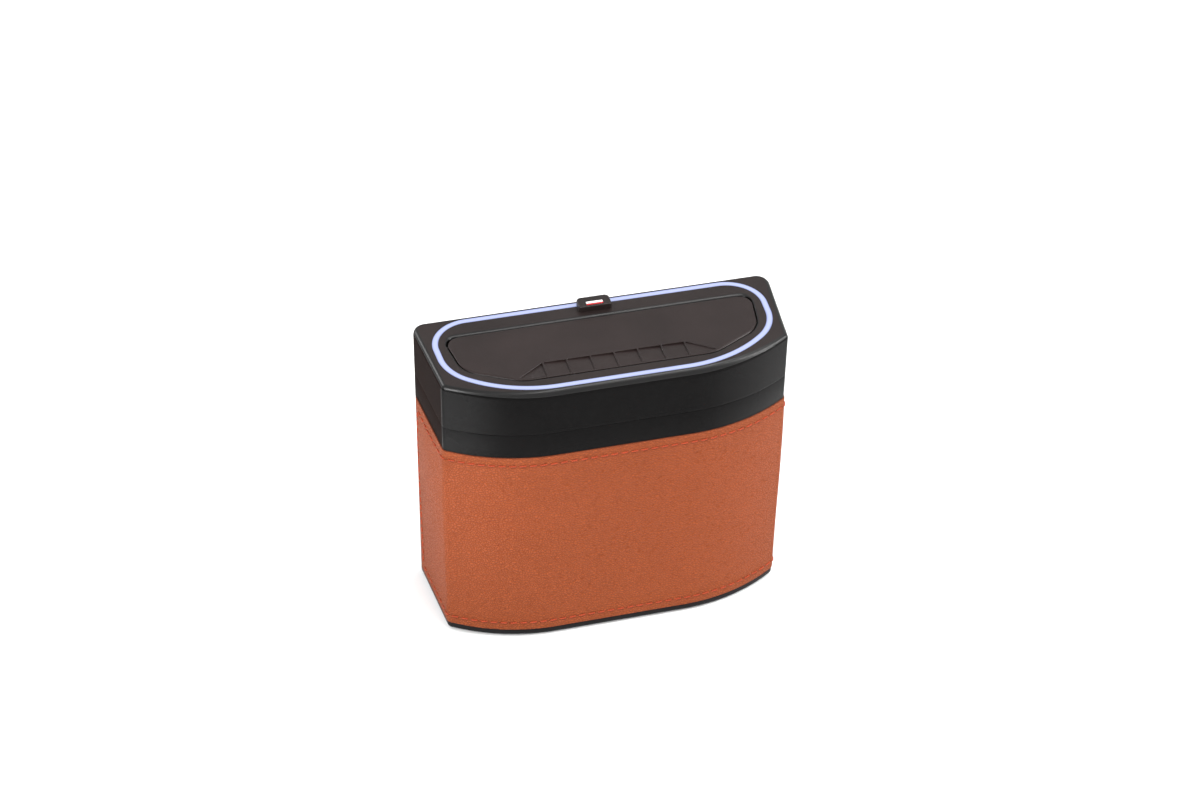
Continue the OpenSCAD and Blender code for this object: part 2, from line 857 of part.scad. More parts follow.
module lid_flap() {
    color(black_plastic)
        difference() {
            union() {
                slab(rounded(flap_plan, flap_radii, half_gap), bin_h - flap_t, bin_h);
                intersection() {
                    slab(rounded(flap_plan, flap_radii, half_gap), hinge_z - 2 * ear_r, bin_h - flap_t + eps);
                    two_sided()
                        union() {
                            along_x(ear_in, flap_w_back, hinge_y, hinge_z, ear_r);
                            translate([ear_in, hinge_y - ear_r, hinge_z])
                                cube([flap_w_back - ear_in, 2 * ear_r, ear_r]);
                        }
                }
                difference() {
                    band(
                        rounded(flap_plan, flap_radii, rib_in),
                        rounded(flap_plan, flap_radii, rib_in + rib_t),
                        bin_h - flap_t - rib_h, bin_h - flap_t + eps
                    );
                    behind(hinge_y - ear_r - 2, bin_h - 20, bin_h);
                }
            }
            grip();
            two_sided()
                along_x(ear_in - 1, flap_w_back, hinge_y, hinge_z, pin_r + pin_fit);
            for (x = [-magnet_x, magnet_x])
                translate([x, magnet_y, bin_h - flap_t - 1])
                    cylinder(r = magnet_r, h = magnet_t + 1);
        }
}

module light_button() {
    low = bin_h + switch_h - switch_wall;
    w = button_w - 2 * button_fit;
    d = button_d - 2 * button_fit;
    color("#e9e6e2")
        union() {
            translate([-w / 2, button_y - d / 2 + stripe_d, low - eps])
                cube([w, d - stripe_d, switch_wall + button_proud + eps]);
            translate([-w / 2, button_y - d / 2, low - eps])
                cube([w, d, switch_wall - 1 + eps]);
            translate([-w / 2 - 1, button_y - 1, low - button_flange])
                cube([w + 2, d, button_flange]);
            translate([0, button_y, bin_h + tact_h - top_t + button_travel + 0.1])
                cylinder(r = 1.2, h = low - bin_h - tact_h + top_t - button_travel - 0.2);
        }
}

module button_stripe() {
    low = bin_h + switch_h - 1;
    w = button_w - 2 * button_fit;
    d = button_d - 2 * button_fit;
    color("#b3202c")
        translate([-w / 2, button_y - d / 2, low])
            cube([w, stripe_d, 1 + button_proud]);
}

bucket();
anti_slip_pad();
leather_wrap();
wrap_stitching();
rim_collar();
bag_ring();
hanger_hook();
hanger_screws();
top_cover();
light_ring();
lid_frame();
frame_screws();
hinge_pin_left();
hinge_pin_right();
switch_housing();
led_board();
leds();
tact_switch();
battery();
battery_door();
battery_leads();
keeper_magnets();
lid_bumpers();
lid_flap();
flap_magnets();
light_button();
button_stripe();
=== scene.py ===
"""Looks for the car trash bin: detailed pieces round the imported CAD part, floor, light and camera.

Lengths in the shape code are millimetres in the part's frame, and MM turns them into metres."""

import math

import bmesh
import bpy
import numpy as np
from mathutils import Matrix, Vector
from mathutils.geometry import delaunay_2d_cdt


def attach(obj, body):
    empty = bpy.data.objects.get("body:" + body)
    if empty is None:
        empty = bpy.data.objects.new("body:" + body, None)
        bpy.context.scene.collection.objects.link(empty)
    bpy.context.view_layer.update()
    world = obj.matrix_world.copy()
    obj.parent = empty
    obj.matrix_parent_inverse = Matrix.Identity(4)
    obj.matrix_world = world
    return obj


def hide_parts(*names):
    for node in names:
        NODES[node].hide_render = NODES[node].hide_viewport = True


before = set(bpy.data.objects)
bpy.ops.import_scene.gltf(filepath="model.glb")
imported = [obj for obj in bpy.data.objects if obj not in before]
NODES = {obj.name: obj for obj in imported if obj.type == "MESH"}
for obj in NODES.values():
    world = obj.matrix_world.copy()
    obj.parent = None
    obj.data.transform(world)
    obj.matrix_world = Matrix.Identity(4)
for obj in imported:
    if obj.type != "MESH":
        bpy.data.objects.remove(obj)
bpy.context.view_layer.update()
MM = 0.001
PI = math.pi
SHARP = 38  # Degrees between two faces from which their edge isn't smoothed

# Sizes of the CAD part, in its own words
BIN_W, BIN_D, BIN_H = 240.0, 89.5, 206.0
SIDE_LEAN, CORNER_BACK, FRONT_RUN = 6.7, 21.8, 69.6
BACK_R, SIDE_R = 9.0, 4.5
BACK_Y, FRONT_Y = BIN_D / 2, -BIN_D / 2
CORNER_W = BIN_W / 2 - SIDE_LEAN
CORNER_Y = FRONT_Y + CORNER_BACK
LEAN = math.degrees(math.atan(SIDE_LEAN / (BACK_Y - CORNER_Y)))
FRONT_FLAT = CORNER_W - FRONT_RUN
FRONT_R = (FRONT_RUN**2 + CORNER_BACK**2) / (2 * CORNER_BACK)
PAD_T, BAND_Z, WRAP_TOP, SEAM_Z = 1.0, 7.0, 155.2, 173.3
WRAP_H = WRAP_TOP - BAND_Z
WRAP_T, WRAP_END, WRAP_SWELL = 1.3, 10.5, 2.6
WRAP_Y = BACK_Y - WRAP_END
BLACK_OUT, BUCKET_IN, BAND_R, FLOOR_Z, FLOOR_R = 0.5, 3.5, 3.0, 3.6, 2.5
COLLAR_LAP, LIP_OUT, LIP_IN, LIP_H, COVER_IN = 6.0, 3.2, 4.8, 4.0, 2.9
TOP_UNDER = 202.8
SHOULDER_W, SHOULDER_H, EDGE_ROUND, BACK_ROUND = 3.6, 6.5, 3.0, 1.6
STITCH_EDGE, STITCH_PITCH, STITCH_LEN = 6.5, 6.6, 4.6
RING_W, RING_T = 3.8, 2.0
RING_HALF, RING_LEAN, RING_BACK, RING_FRONT = 109.5, 3.0, 40.1, -38.3
GAP_BACK, GAP_FRONT, FLAP_SIDE = 24.95, -29.1, 18.0
FLAP_W_BACK, FLAP_W_SIDE, FLAP_W_FRONT = 102.0, 96.6, 62.7
HALF_GAP, FLAP_T = 0.4, 2.4
HINGE_Y, HINGE_Z, EAR_R, PIN_R = 16.95, 203.4, 2.2, 0.9
BOSS_IN, BOSS_OUT, BOSS_HALF, BOSS_LOW = 0.5, 6.5, 4.5, 197.8
RIB_IN, RIB_T, RIB_H = 6.0, 1.4, 2.2
GRIP_TIP, GRIP_BACK, GRIP_DEPTH = 18.2, 15.8, 0.8
SWITCH_W, SWITCH_FRONT, SWITCH_BACK, SWITCH_H, SWITCH_WALL = 21.6, 31.4, 42.0, 4.0, 1.2
BUTTON_W, BUTTON_D, BUTTON_Y, STRIPE_D, STEM_Z = 10.9, 3.3, 34.6, 1.2, 206.92
HOOK_T, HOOK_TOP, HOOK_H, HOOK_W, HOOK_GAP, HOOK_LEN = 2.4, 151.2, 52.0, 60.0, 8.0, 34.0
HOOK_Y = BACK_Y - BLACK_OUT
SCREW_X, SCREW_Z, SCREW_R = 18.0, 107.2, 1.5
FRAME_SCREW_Z = 200.4
FRAME_SCREWS = [(s * x, y) for x, y in ((25, 31.575), (86, 30.575), (40, -32.75)) for s in (1, -1)]
FLAP_HALF = [
    (FLAP_W_FRONT, GAP_FRONT), (FLAP_W_SIDE, GAP_FRONT + FLAP_SIDE), (FLAP_W_BACK, GAP_BACK)]
FLAP_PLAN = FLAP_HALF + [(-x, y) for x, y in FLAP_HALF[::-1]]
FLAP_RADII = [22, 20, 9, 9, 20, 22]
OPEN_RADII = [22, 20, 7.5, 7.5, 20, 22]


# Outlines


def arc(centre, r, start, end, n):
    t = np.radians(np.linspace(start, end, n + 1))
    return np.stack([centre[0] + r * np.cos(t), centre[1] + r * np.sin(t)], 1)


class Plan:
    """The bin's outline: straight back, leaning sides, a front that curves back at both ends."""

    back_steps, side_steps, front_steps = 24, 12, 60
    least_r = 0.6

    def __init__(self, half, lean, back, back_r, side_r, front, flat, bend):
        self.lean, self.back, self.back_r, self.side_r = math.radians(lean), back, back_r, side_r
        self.front, self.flat, self.bend = front, flat, bend
        self.normal = np.array([math.cos(self.lean), -math.sin(self.lean)])
        self.along = np.array([-math.sin(self.lean), -math.cos(self.lean)])
        self.reach = float(self.normal @ [half, back])

    def half_line(self, d):
        """From the back's right end round the side to the front's straight part, inset by d."""
        lean = math.degrees(self.lean)
        rb = max(self.back_r - d, self.least_r)
        yb = self.back - d - rb
        kb = ((self.reach - d - rb + math.sin(self.lean) * yb) / math.cos(self.lean), yb)
        rs = max(self.side_r - d, self.least_r)
        c = np.array([self.flat, self.front + self.bend])
        b = (self.reach - d - rs) * self.normal
        w, q = b - c, self.bend - d - rs
        wu = float(w @ self.along)
        ks = b + (-wu + math.sqrt(wu * wu - float(w @ w) + q * q)) * self.along
        a = math.degrees(math.atan2(*(ks - c)[::-1]))
        return np.concatenate([
            arc(kb, rb, 90, -lean, self.back_steps), arc(ks, rs, -lean, a, self.side_steps),
            arc(c, self.bend - d, a, -90, self.front_steps)[1:],
        ])

    def line(self, d):
        half = self.half_line(d)
        return np.concatenate([half, half[::-1] * [-1, 1]])


BODY = Plan(BIN_W / 2, LEAN, BACK_Y, BACK_R, SIDE_R, FRONT_Y, FRONT_FLAT, FRONT_R)
RING = Plan(RING_HALF, RING_LEAN, RING_BACK, 0.27 * BIN_D, 0.37 * BIN_D, RING_FRONT,
            FRONT_FLAT - 1.7, 0.688 * FRONT_R)


def triples(corners):
    """Each corner with the one before it and the one after it."""
    corners = np.array(corners, float)
    return zip(np.roll(corners, 1, 0), corners, np.roll(corners, -1, 0))


def rounded(corners, radii, d, steps=14):
    """A convex outline with rounded corners, moved inwards by d."""
    out = []
    for (before, p, after), r in zip(triples(corners), radii):
        n1, n2 = (np.array([e[1], -e[0]]) / np.hypot(*e) for e in (p - before, after - p))
        r = max(r - d, 0.4)
        k = p - (d + r) * (n1 + n2) / (1 + n1 @ n2)
        a = math.degrees(math.atan2(n1[1], n1[0]))
        out.append(arc(k, r, a, a + math.degrees(math.acos(min(1, n1 @ n2))), steps))
    return np.concatenate(out)


def box_line(x, y0, y1, radii, d=0.0):
    return rounded([(x, y0), (x, y1), (-x, y1), (-x, y0)], radii, d, 8)


class Fan:
    """Directions from a centre, shared by outlines so that their rings join point to point."""

    def __init__(self, centre, lines, widest=0.8, closest=0.07):
        self.centre = np.array(centre, float)
        widest, closest = math.radians(widest), math.radians(closest)
        angles = np.sort(np.concatenate([self.angle(line) for line in lines]) % (2 * PI))
        kept = [angles[0]]
        for a in angles[1:]:
            while a - kept[-1] > widest:
                kept.append(kept[-1] + widest * 0.9)
            if a - kept[-1] > closest:
                kept.append(a)
        while 2 * PI + kept[0] - kept[-1] > widest * 1.5:
            kept.append(kept[-1] + widest * 0.9)
        self.angles = np.array(kept)
        self.ways = np.stack([np.cos(self.angles), np.sin(self.angles)], 1)

    def angle(self, line):
        v = line - self.centre
        return np.arctan2(v[:, 1], v[:, 0])

    def cast(self, line):
        """The outline's point in each direction."""
        v = line - self.centre
        a = np.unwrap(self.angle(line))
        if a[-1] < a[0]:
            a, v = a[::-1], v[::-1]
        start = a[0]
        a, v = np.append(a, start + 2 * PI), np.concatenate([v, v[:1]])
        t = (self.angles - start) % (2 * PI) + start
        i = np.clip(np.searchsorted(a, t, "right") - 1, 0, len(a) - 2)
        e = v[i + 1] - v[i]
        w = self.ways
        f = (v[i, 1] * w[:, 0] - v[i, 0] * w[:, 1]) / (e[:, 0] * w[:, 1] - e[:, 1] * w[:, 0])
        return self.centre + v[i] + f[:, None] * e


# Meshes


def show(name, data):
    """A new object in the scene."""
    obj = bpy.data.objects.new(name, data)
    bpy.context.scene.collection.objects.link(obj)
    return obj


def show_mesh(name, mesh, sharp=SHARP):
    mesh.shade_smooth()
    mesh.set_sharp_from_angle(angle=math.radians(sharp))
    return show(name, mesh)


def make_mesh(name, points, faces, sharp=SHARP, fields=None):
    """An object from points in millimetres, with a number at each point for every named field."""
    mesh = bpy.data.meshes.new(name)
    mesh.from_pydata((np.asarray(points, float) * MM).tolist(), [], faces)
    for key, values in (fields or {}).items():
        field = mesh.attributes.new(key, "FLOAT", "POINT")
        field.data.foreach_set("value", np.asarray(values, np.float32))
    mesh.validate()
    return show_mesh(name, mesh, sharp)


def from_bmesh(name, bm):
    mesh = bpy.data.meshes.new(name)
    bmesh.ops.recalc_face_normals(bm, faces=bm.faces[:])
    bm.to_mesh(mesh)
    bm.free()
    return show_mesh(name, mesh)


def at(line, z):
    return np.column_stack([line, np.broadcast_to(z, len(line))])


def ring_faces(n, m, closed=False, first=0, caps=()):
    """Quads between m rings of n points, which run anticlockwise, going up the outside."""
    i = np.arange(n)
    faces = []
    for j in range(m if closed else m - 1):
        a, b = first + j * n, first + (j + 1) % m * n
        faces += np.stack([a + i, a + (i + 1) % n, b + (i + 1) % n, b + i], 1).tolist()
    if "low" in caps:
        faces.append((first + i[::-1]).tolist())
    if "high" in caps:
        faces.append((first + (m - 1) * n + i).tolist())
    return faces


def strip_faces(a, b, n):
    """Quads between two open lines of n points that start at a and b."""
    i = np.arange(n - 1)
    return np.stack([a + i, a + i + 1, b + i + 1, b + i], 1).tolist()


def shell(name, rings, closed=False, caps=(), sharp=SHARP, fields=None):
    faces = ring_faces(len(rings[0]), len(rings), closed, 0, caps)
    return make_mesh(name, np.concatenate(rings), faces, sharp, fields)


def quarter(n):
    """Steps of a quarter turn: how far in, and how far up, as shares of the radius."""
    t = np.linspace(0, PI / 2, n + 1)
    return list(zip(1 - np.cos(t), np.sin(t)))


def quarter_turn(n):
    """The sine and cosine of each step of a quarter turn."""
    return [(math.sin(t), math.cos(t)) for t in np.linspace(0, PI / 2, n + 1)]


def smooth(t):
    c = np.clip(t, 0, 1)
    return c * c * (3 - 2 * c)


def join(name, parts):
    """One object from several, which keep their materials' slots and sharp edges."""
    bpy.ops.object.select_all(action="DESELECT")
    for o in parts:
        o.select_set(True)
    bpy.context.view_layer.objects.active = parts[0]
    bpy.ops.object.join()
    parts[0].name = name
    parts[0].data.name = name
    return parts[0]


def round_edges(bm, edges, r, steps):
    bmesh.ops.bevel(
        bm, geom=edges, offset=r * MM, segments=steps, profile=0.5, affect="EDGES")


def soft_box(name, low, high, r):
    """A box with rounded edges."""
    bm = bmesh.new()
    bmesh.ops.create_cube(bm, size=1)
    size = np.subtract(high, low)
    for v in bm.verts:
        v.co = Vector([low[k] + (v.co[k] + 0.5) * size[k] for k in range(3)]) * MM
    round_edges(bm, bm.edges[:], r, 3)
    return from_bmesh(name, bm)


def turned(name, profile, place, axis, n):
    """A turned piece that stands at place along axis. Each step of its profile has a radius, a
    height and a share: 0 for a circle, 1 for a hexagon of that radius."""
    t = np.linspace(0, 2 * PI, n, endpoint=False)
    hexagon = math.cos(PI / 6) / np.cos((t + PI / 6) % (PI / 3) - PI / 6)
    rings = []
    for r, h, six in profile:
        r_t = r * (1 + six * (hexagon - 1))
        rings.append(np.stack([r_t * np.cos(t), r_t * np.sin(t), np.full(n, h)], 1))
    turn = Vector((0, 0, 1)).rotation_difference(Vector(axis)).to_matrix()
    points = np.concatenate(rings) @ np.array(turn).T + np.array(place)
    return make_mesh(name, points, ring_faces(n, len(rings), caps=("low", "high")), 32)


# Materials


class Look:
    """A material with its texture steps written one after another."""

    def __init__(self, name, **shader):
        self.mat = bpy.data.materials.new(name)
        self.mat.use_nodes = True
        self.nt = self.mat.node_tree
        self.shader = self.nt.nodes["Principled BSDF"]
        self.set(**shader)
        self.place = self.node("TexCoord").outputs["Object"]

    def feed(self, socket, value):
        """Links an output to a socket, or sets the socket's own value."""
        if hasattr(value, "is_output"):
            self.nt.links.new(value, socket)
        else:
            socket.default_value = (*value, 1) if socket.type == "RGBA" else value

    def feed_all(self, node, inputs):
        for key, value in inputs.items():
            self.feed(node.inputs[key.replace("_", " ")], value)

    def set(self, **inputs):
        self.feed_all(self.shader, inputs)
        return self.mat

    def node(self, kind, **inputs):
        n = self.nt.nodes.new("ShaderNode" + kind)
        self.feed_all(n, inputs)
        return n

    def noise(self, scale, detail=3.0, rough=0.55, where=None):
        return self.node("TexNoise", Scale=scale, Detail=detail, Roughness=rough,
                         Vector=where or self.place).outputs["Fac"]

    def cells(self, scale, feature="F1", where=None, **inputs):
        n = self.node("TexVoronoi")
        n.feature = feature
        self.feed_all(n, dict(Scale=scale, Vector=where or self.place, **inputs))
        return n.outputs["Distance"]

    def math(self, kind, *values, node="Math"):
        n = self.node(node)
        n.operation = kind
        for socket, value in zip(n.inputs, values):
            self.feed(socket, value)
        return n.outputs[0]

    def ramp(self, value, *stops):
        """Colours or grey levels along a value."""
        n = self.node("ValToRGB", Fac=value)
        e = n.color_ramp.elements
        while len(e) < len(stops):
            e.new(0.5)
        for k, (p, c) in enumerate(stops):
            e[k].position = p
            e[k].color = (*c, 1) if hasattr(c, "__len__") else (c, c, c, 1)
        return n.outputs["Color"]

    def blend(self, noise, low, high):
        """From one colour to the other over the middle of a noise."""
        return self.ramp(noise, (0.3, low), (0.7, high))

    def range(self, value, low, high, to_low=0.0, to_high=1.0):
        return self.node("MapRange", Value=value, From_Min=low, From_Max=high,
                         To_Min=to_low, To_Max=to_high).outputs["Result"]

    def mix(self, share, a, b, kind="MIX"):
        n = self.node("Mix")
        n.data_type = "RGBA"
        n.blend_type = kind
        for socket, value in ((0, share), (6, a), (7, b)):
            self.feed(n.inputs[socket], value)
        return n.outputs[2]

    def field(self, name):
        n = self.node("Attribute")
        n.attribute_name = name
        return n.outputs["Fac"]

    def bump(self, height, depth):
        """Bump of that depth in millimetres."""
        return self.node("Bump", Distance=depth * MM, Height=height).outputs["Normal"]


def plastic(name, colour, rough, grain, grain_depth, specular):
    """Moulded plastic: a fine grain, slightly uneven gloss and a faint change of colour."""
    k = Look(name, Specular_IOR_Level=specular)
    broad, fine = k.noise(22), k.noise(grain, 2, 0.6)
    tint = k.blend(broad, *(tuple(c * f for c in colour) for f in (0.82, 1.18)))
    gloss = k.range(k.math("ADD", k.math("MULTIPLY", broad, 0.7), k.math("MULTIPLY", fine, 0.3)),
                    0.3, 0.7, rough - 0.06, rough + 0.06)
    return k.set(Base_Color=tint, Roughness=gloss, Normal=k.bump(fine, grain_depth))


def leather():
    """Pebbled leather: small cells, bent by noise, with creases between them. Its colour carries
    painted light and shade: it is a little lighter on the upper side of each pebble, which a
    second copy of the cells finds, and darker in the creases."""
    k = Look("leather_tan", Specular_IOR_Level=0.12)
    pebbles, move, bend = 590, 0.00040, 0.0034
    wave = k.noise(150, 2, 0.5).node.outputs["Color"]
    where = k.math("MULTIPLY_ADD", wave, (bend, bend, bend), k.place, node="VectorMath")
    moved = k.math("ADD", where, (0, 0, move), node="VectorMath")
    rise = ((0.0, 0.0), (0.10, 0.45), (0.22, 0.82), (0.42, 1.0))
    height, aside = (
        k.ramp(k.cells(pebbles, "DISTANCE_TO_EDGE", w), *rise) for w in (where, moved))
    small = k.math("SUBTRACT", 1.0, k.cells(1700, where=where))
    height = k.math("ADD", height, k.math("MULTIPLY", small, 0.12))
    # Painted light: the colour is lifted where a pebble stands higher than the cells just above it,
    # on each pebble's upper side
    slope = k.math("SUBTRACT", height, aside)
    tone = k.blend(k.noise(9, 3, 0.5), (0.208, 0.0448, 0.0126), (0.230, 0.0502, 0.0147))
    # Painted shade in the creases, where the cells are low, together with the painted light on the
    # pebbles' upper sides, as one grey
    grain = k.math("ADD", k.range(height, 0.10, 1.05, 0.79, 1.05), k.math("MULTIPLY", slope, 0.48))
    grey = k.node("CombineColor", Red=grain, Green=grain, Blue=grain).outputs["Color"]
    tone = k.mix(1.0, tone, grey, "MULTIPLY")
    # Painted shade in the stitch holes and painted shadow under each thread
    tone = k.mix(k.field("painted_stitch_shade"), tone, (0.030, 0.005, 0.003))
    tone = k.mix(k.field("edge"), tone, (0.085, 0.020, 0.009))
    return k.set(Base_Color=tone, Roughness=k.range(height, 0.2, 1.0, 0.70, 0.52),
                 Normal=k.bump(height, 0.36))


def thread():
    """Twisted thread: fine slanted strands along each stitch."""
    k = Look("thread_tan", Roughness=0.62, Specular_IOR_Level=0.2)
    turns = [k.math("MULTIPLY", k.field(f), v) for f, v in (("along", 5.2), ("around", 2.0))]
    twist = k.range(k.math("SINE", k.math("ADD", *turns)), -1, 1, 0.0, 0.8)
    level = k.math("ADD", twist, k.math("MULTIPLY", k.noise(2600, 2, 0.6), 0.35))
    tone = k.ramp(level, (0.1, (0.13, 0.013, 0.005)), (0.9, (0.42, 0.062, 0.018)))
    return k.set(Base_Color=tone, Normal=k.bump(level, 0.10))


def rubber():
    """Dusty rubber with fine raised dots."""
    k = Look("pad_rubber", Specular_IOR_Level=0.3)
    dots = k.cells(700, "SMOOTH_F1", Smoothness=0.5, Randomness=0.15)
    dust = k.noise(60, 4, 0.65)
    tone = k.ramp(dust, (0.3, (0.018, 0.018, 0.018)), (0.75, (0.045, 0.043, 0.042)))
    return k.set(Base_Color=tone, Roughness=k.range(dust, 0.3, 0.7, 0.75, 0.92),
                 Normal=k.bump(k.range(dots, 0.1, 0.6, 1.0, 0.0), 0.16))


def lit_guide():
    """Frosted light guide, lit from behind: even in the middle and bluer along its edges."""
    k = Look("ring_light", Roughness=0.35, Specular_IOR_Level=0.3, Emission_Strength=0.62)
    frost = k.noise(1800, 2, 0.5)
    glow = k.ramp(k.field("rim"), (0.0, (0.60, 0.67, 0.93)), (0.55, (0.55, 0.62, 0.93)),
                  (0.86, (0.30, 0.36, 0.80)), (1.0, (0.10, 0.13, 0.42)))
    return k.set(Base_Color=k.blend(frost, (0.11, 0.125, 0.19), (0.14, 0.155, 0.22)),
                 Emission_Color=glow, Normal=k.bump(frost, 0.02))


def metal(name, colour, rough):
    """Bare metal with fine scratches in one direction."""
    k = Look(name, Metallic=1.0)
    where = k.node("Mapping", Scale=(90, 90, 2200), Vector=k.place).outputs["Vector"]
    lines = k.noise(1, 3, 0.6, where)
    return k.set(Base_Color=k.blend(lines, tuple(c * 0.8 for c in colour), colour),
                 Roughness=k.range(lines, 0.3, 0.7, rough - 0.06, rough + 0.1),
                 Normal=k.bump(lines, 0.01))


def board():
    """Green solder mask with paler copper tracks showing through."""
    k = Look("board_green", Specular_IOR_Level=0.5, Coat_Weight=0.3)
    line = k.range(k.cells(330, Randomness=0.55), 0.30, 0.36)
    tone = k.mix(line, (0.035, 0.18, 0.085), (0.015, 0.085, 0.040))
    return k.set(Base_Color=tone, Roughness=k.range(line, 0, 1, 0.3, 0.42),
                 Normal=k.bump(line, 0.03))


def gloss_paint(name, dark, light, rough):
    """A smooth glossy surface with faint clouds in its colour and gloss."""
    k = Look(name, Specular_IOR_Level=0.5)
    cloud, fine = k.noise(150), k.noise(2400, 2)
    return k.set(Base_Color=k.blend(cloud, dark, light), Normal=k.bump(fine, 0.006),
                 Roughness=k.range(cloud, 0.3, 0.7, rough - 0.05, rough + 0.05))


LOOKS = {name: make(name, *values) for make, group in (
    (plastic, {
        "bucket_black": ((0.0060, 0.0058, 0.0060), 0.36, 2600, 0.016, 0.08),
        # The cover's walls, shoulder and flat top are one plastic in copies: the top's lighter brown
        # beside the walls' near black is painted light and shade
        "cover_black": ((0.0023, 0.0021, 0.0021), 0.27, 2800, 0.010, 0.05),
        "edge_black": ((0.0040, 0.0037, 0.0036), 0.32, 2800, 0.010, 0.34),
        # Painted reflection: the leaning sides' warm brown stands for a warm reflection on the
        # cover's plastic
        "flank_black": ((0.0105, 0.0066, 0.0058), 0.34, 2800, 0.010, 0.001),
        "flap_black": ((0.015, 0.0092, 0.0085), 0.36, 2400, 0.022, 0.27),
        "top_black": ((0.014, 0.0092, 0.0085), 0.34, 2500, 0.018, 0.27),
        "switch_black": ((0.012, 0.0082, 0.0075), 0.38, 2600, 0.014, 0.27),
        "inner_black": ((0.020, 0.020, 0.020), 0.58, 1500, 0.035, 0.35),
    }),
    (metal, {
        "screw_steel": ((0.56, 0.57, 0.59), 0.26),
        "magnet_steel": ((0.62, 0.63, 0.65), 0.14),
    }),
    (gloss_paint, {
        "led_white": ((0.70, 0.68, 0.58), (0.84, 0.82, 0.72), 0.3),
        "battery_blue": ((0.040, 0.130, 0.330), (0.065, 0.180, 0.420), 0.28),
        "lead_red": ((0.30, 0.020, 0.014), (0.38, 0.034, 0.022), 0.45),
        "button_white": ((0.66, 0.64, 0.62), (0.76, 0.74, 0.72), 0.3),
        "stripe_red": ((0.36, 0.008, 0.012), (0.46, 0.014, 0.018), 0.3),
    }),
) for name, values in group.items()}
LOOKS.update(leather_tan=leather(), thread_tan=thread(), pad_rubber=rubber(),
             ring_light=lit_guide(), board_green=board())


def dress(obj, look):
    if obj.material_slots:
        for s in obj.material_slots:
            s.material = LOOKS[look]
    else:
        obj.data.materials.append(LOOKS[look])


def piece(obj, body, slot, *nodes):
    """Finishes a new piece: its material, the body it rides on and the CAD nodes it stands for."""
    if not obj.material_slots:
        dress(obj, slot)
    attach(obj, body)
    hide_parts(*nodes)


# Camera, fitted to the photograph: the columns are its right, its up, its back and its place


cam_data = bpy.data.cameras.new("camera")
cam_data.lens = 80.305
cam_data.sensor_width = 36
cam_data.sensor_fit = "HORIZONTAL"
cam = show("camera", cam_data)
cam.matrix_world = Matrix((
    (0.96680, 0.14841, -0.20802, -0.36368), (-0.25510, 0.60823, -0.75165, -1.29711),
    (0.01497, 0.77976, 0.62590, 1.23752), (0, 0, 0, 1)))
bpy.context.scene.camera = cam


# Body shells, all sampled in the same directions


def step_points(line, y):
    """Points of an outline a little before and after level y, on both sides, for a step in it."""
    levels = (y - 0.02, y + 0.02)
    x = np.interp(levels, line[::-1, 1], line[::-1, 0])
    return np.array([(s * a, b) for s in (1, -1) for a, b in zip(x, levels)])


STEP_Y = WRAP_Y + 0.4
FLAP_LINE = rounded(FLAP_PLAN, FLAP_RADII, 0)
side_run = BODY.half_line(BLACK_OUT)[20:40]  # The straight side and some of its corners
FAN = Fan((0, 3), [BODY.line(BLACK_OUT), RING.line(0), FLAP_LINE, step_points(side_run, STEP_Y)])
INSET_STEP, DEEPEST = 0.25, 9.9
INSETS = np.arange(0, 10.01, INSET_STEP)
REACH = np.stack([np.hypot(*(FAN.cast(BODY.line(d)) - FAN.centre).T) for d in INSETS])
EDGE_R = 0.3


def body_line(d):
    """The body's outline inset by d, which may differ from point to point."""
    d = np.broadcast_to(np.asarray(d, float), len(FAN.angles))
    k = np.clip((d / INSET_STEP).astype(int), 0, len(INSETS) - 2)
    f = d / INSET_STEP - k
    i = np.arange(len(FAN.angles))
    r = (1 - f) * REACH[k, i] + f * REACH[k + 1, i]
    return FAN.centre + r[:, None] * FAN.ways


def ringed(w):
    """The light ring's middle line, moved inwards by w."""
    return FAN.cast(RING.line(w))


def opening(grow):
    """The outline of the flap's opening, moved outwards by grow."""
    return FAN.cast(rounded(FLAP_PLAN, OPEN_RADII, -HALF_GAP - grow))


def foot_rows(z):
    """The rounded lower edge of a black wall that starts at height z."""
    return [at(body_line(BLACK_OUT + EDGE_R * (1 - s)), z + EDGE_R * (1 - c))
            for s, c in quarter_turn(4)]


def bucket_shell():
    """The hollow bucket: a rounded foot, a black band, and a wall set back for the leather."""
    under, edge, sliver = 6, 0.35, 0.01
    top = WRAP_TOP + COLLAR_LAP
    rows = [at(body_line(BLACK_OUT + BAND_R + under), PAD_T)]
    rows += [at(body_line(BLACK_OUT + BAND_R * (1 - s)), PAD_T + BAND_R * (1 - c))
             for s, c in quarter_turn(8)]
    rows += [at(body_line(BLACK_OUT + edge * a), BAND_Z - edge * (1 - b)) for a, b in quarter(4)]
    out = np.where(body_line(BLACK_OUT)[:, 1] > STEP_Y, BLACK_OUT, WRAP_T)
    rows += [at(body_line(d), z) for d, z in (
        (out, BAND_Z + sliver), (out, WRAP_TOP - sliver), (WRAP_T, WRAP_TOP), (WRAP_T, top),
        (BUCKET_IN, top))]
    rows += [at(body_line(BUCKET_IN + FLOOR_R * a), FLOOR_Z + FLOOR_R * (1 - b))
             for a, b in quarter(5)]
    rows.append(at(body_line(DEEPEST), FLOOR_Z))
    return shell("bucket_shell", rows, caps=("low", "high"))


piece(bucket_shell(), "bin", "bucket_black", "bucket")


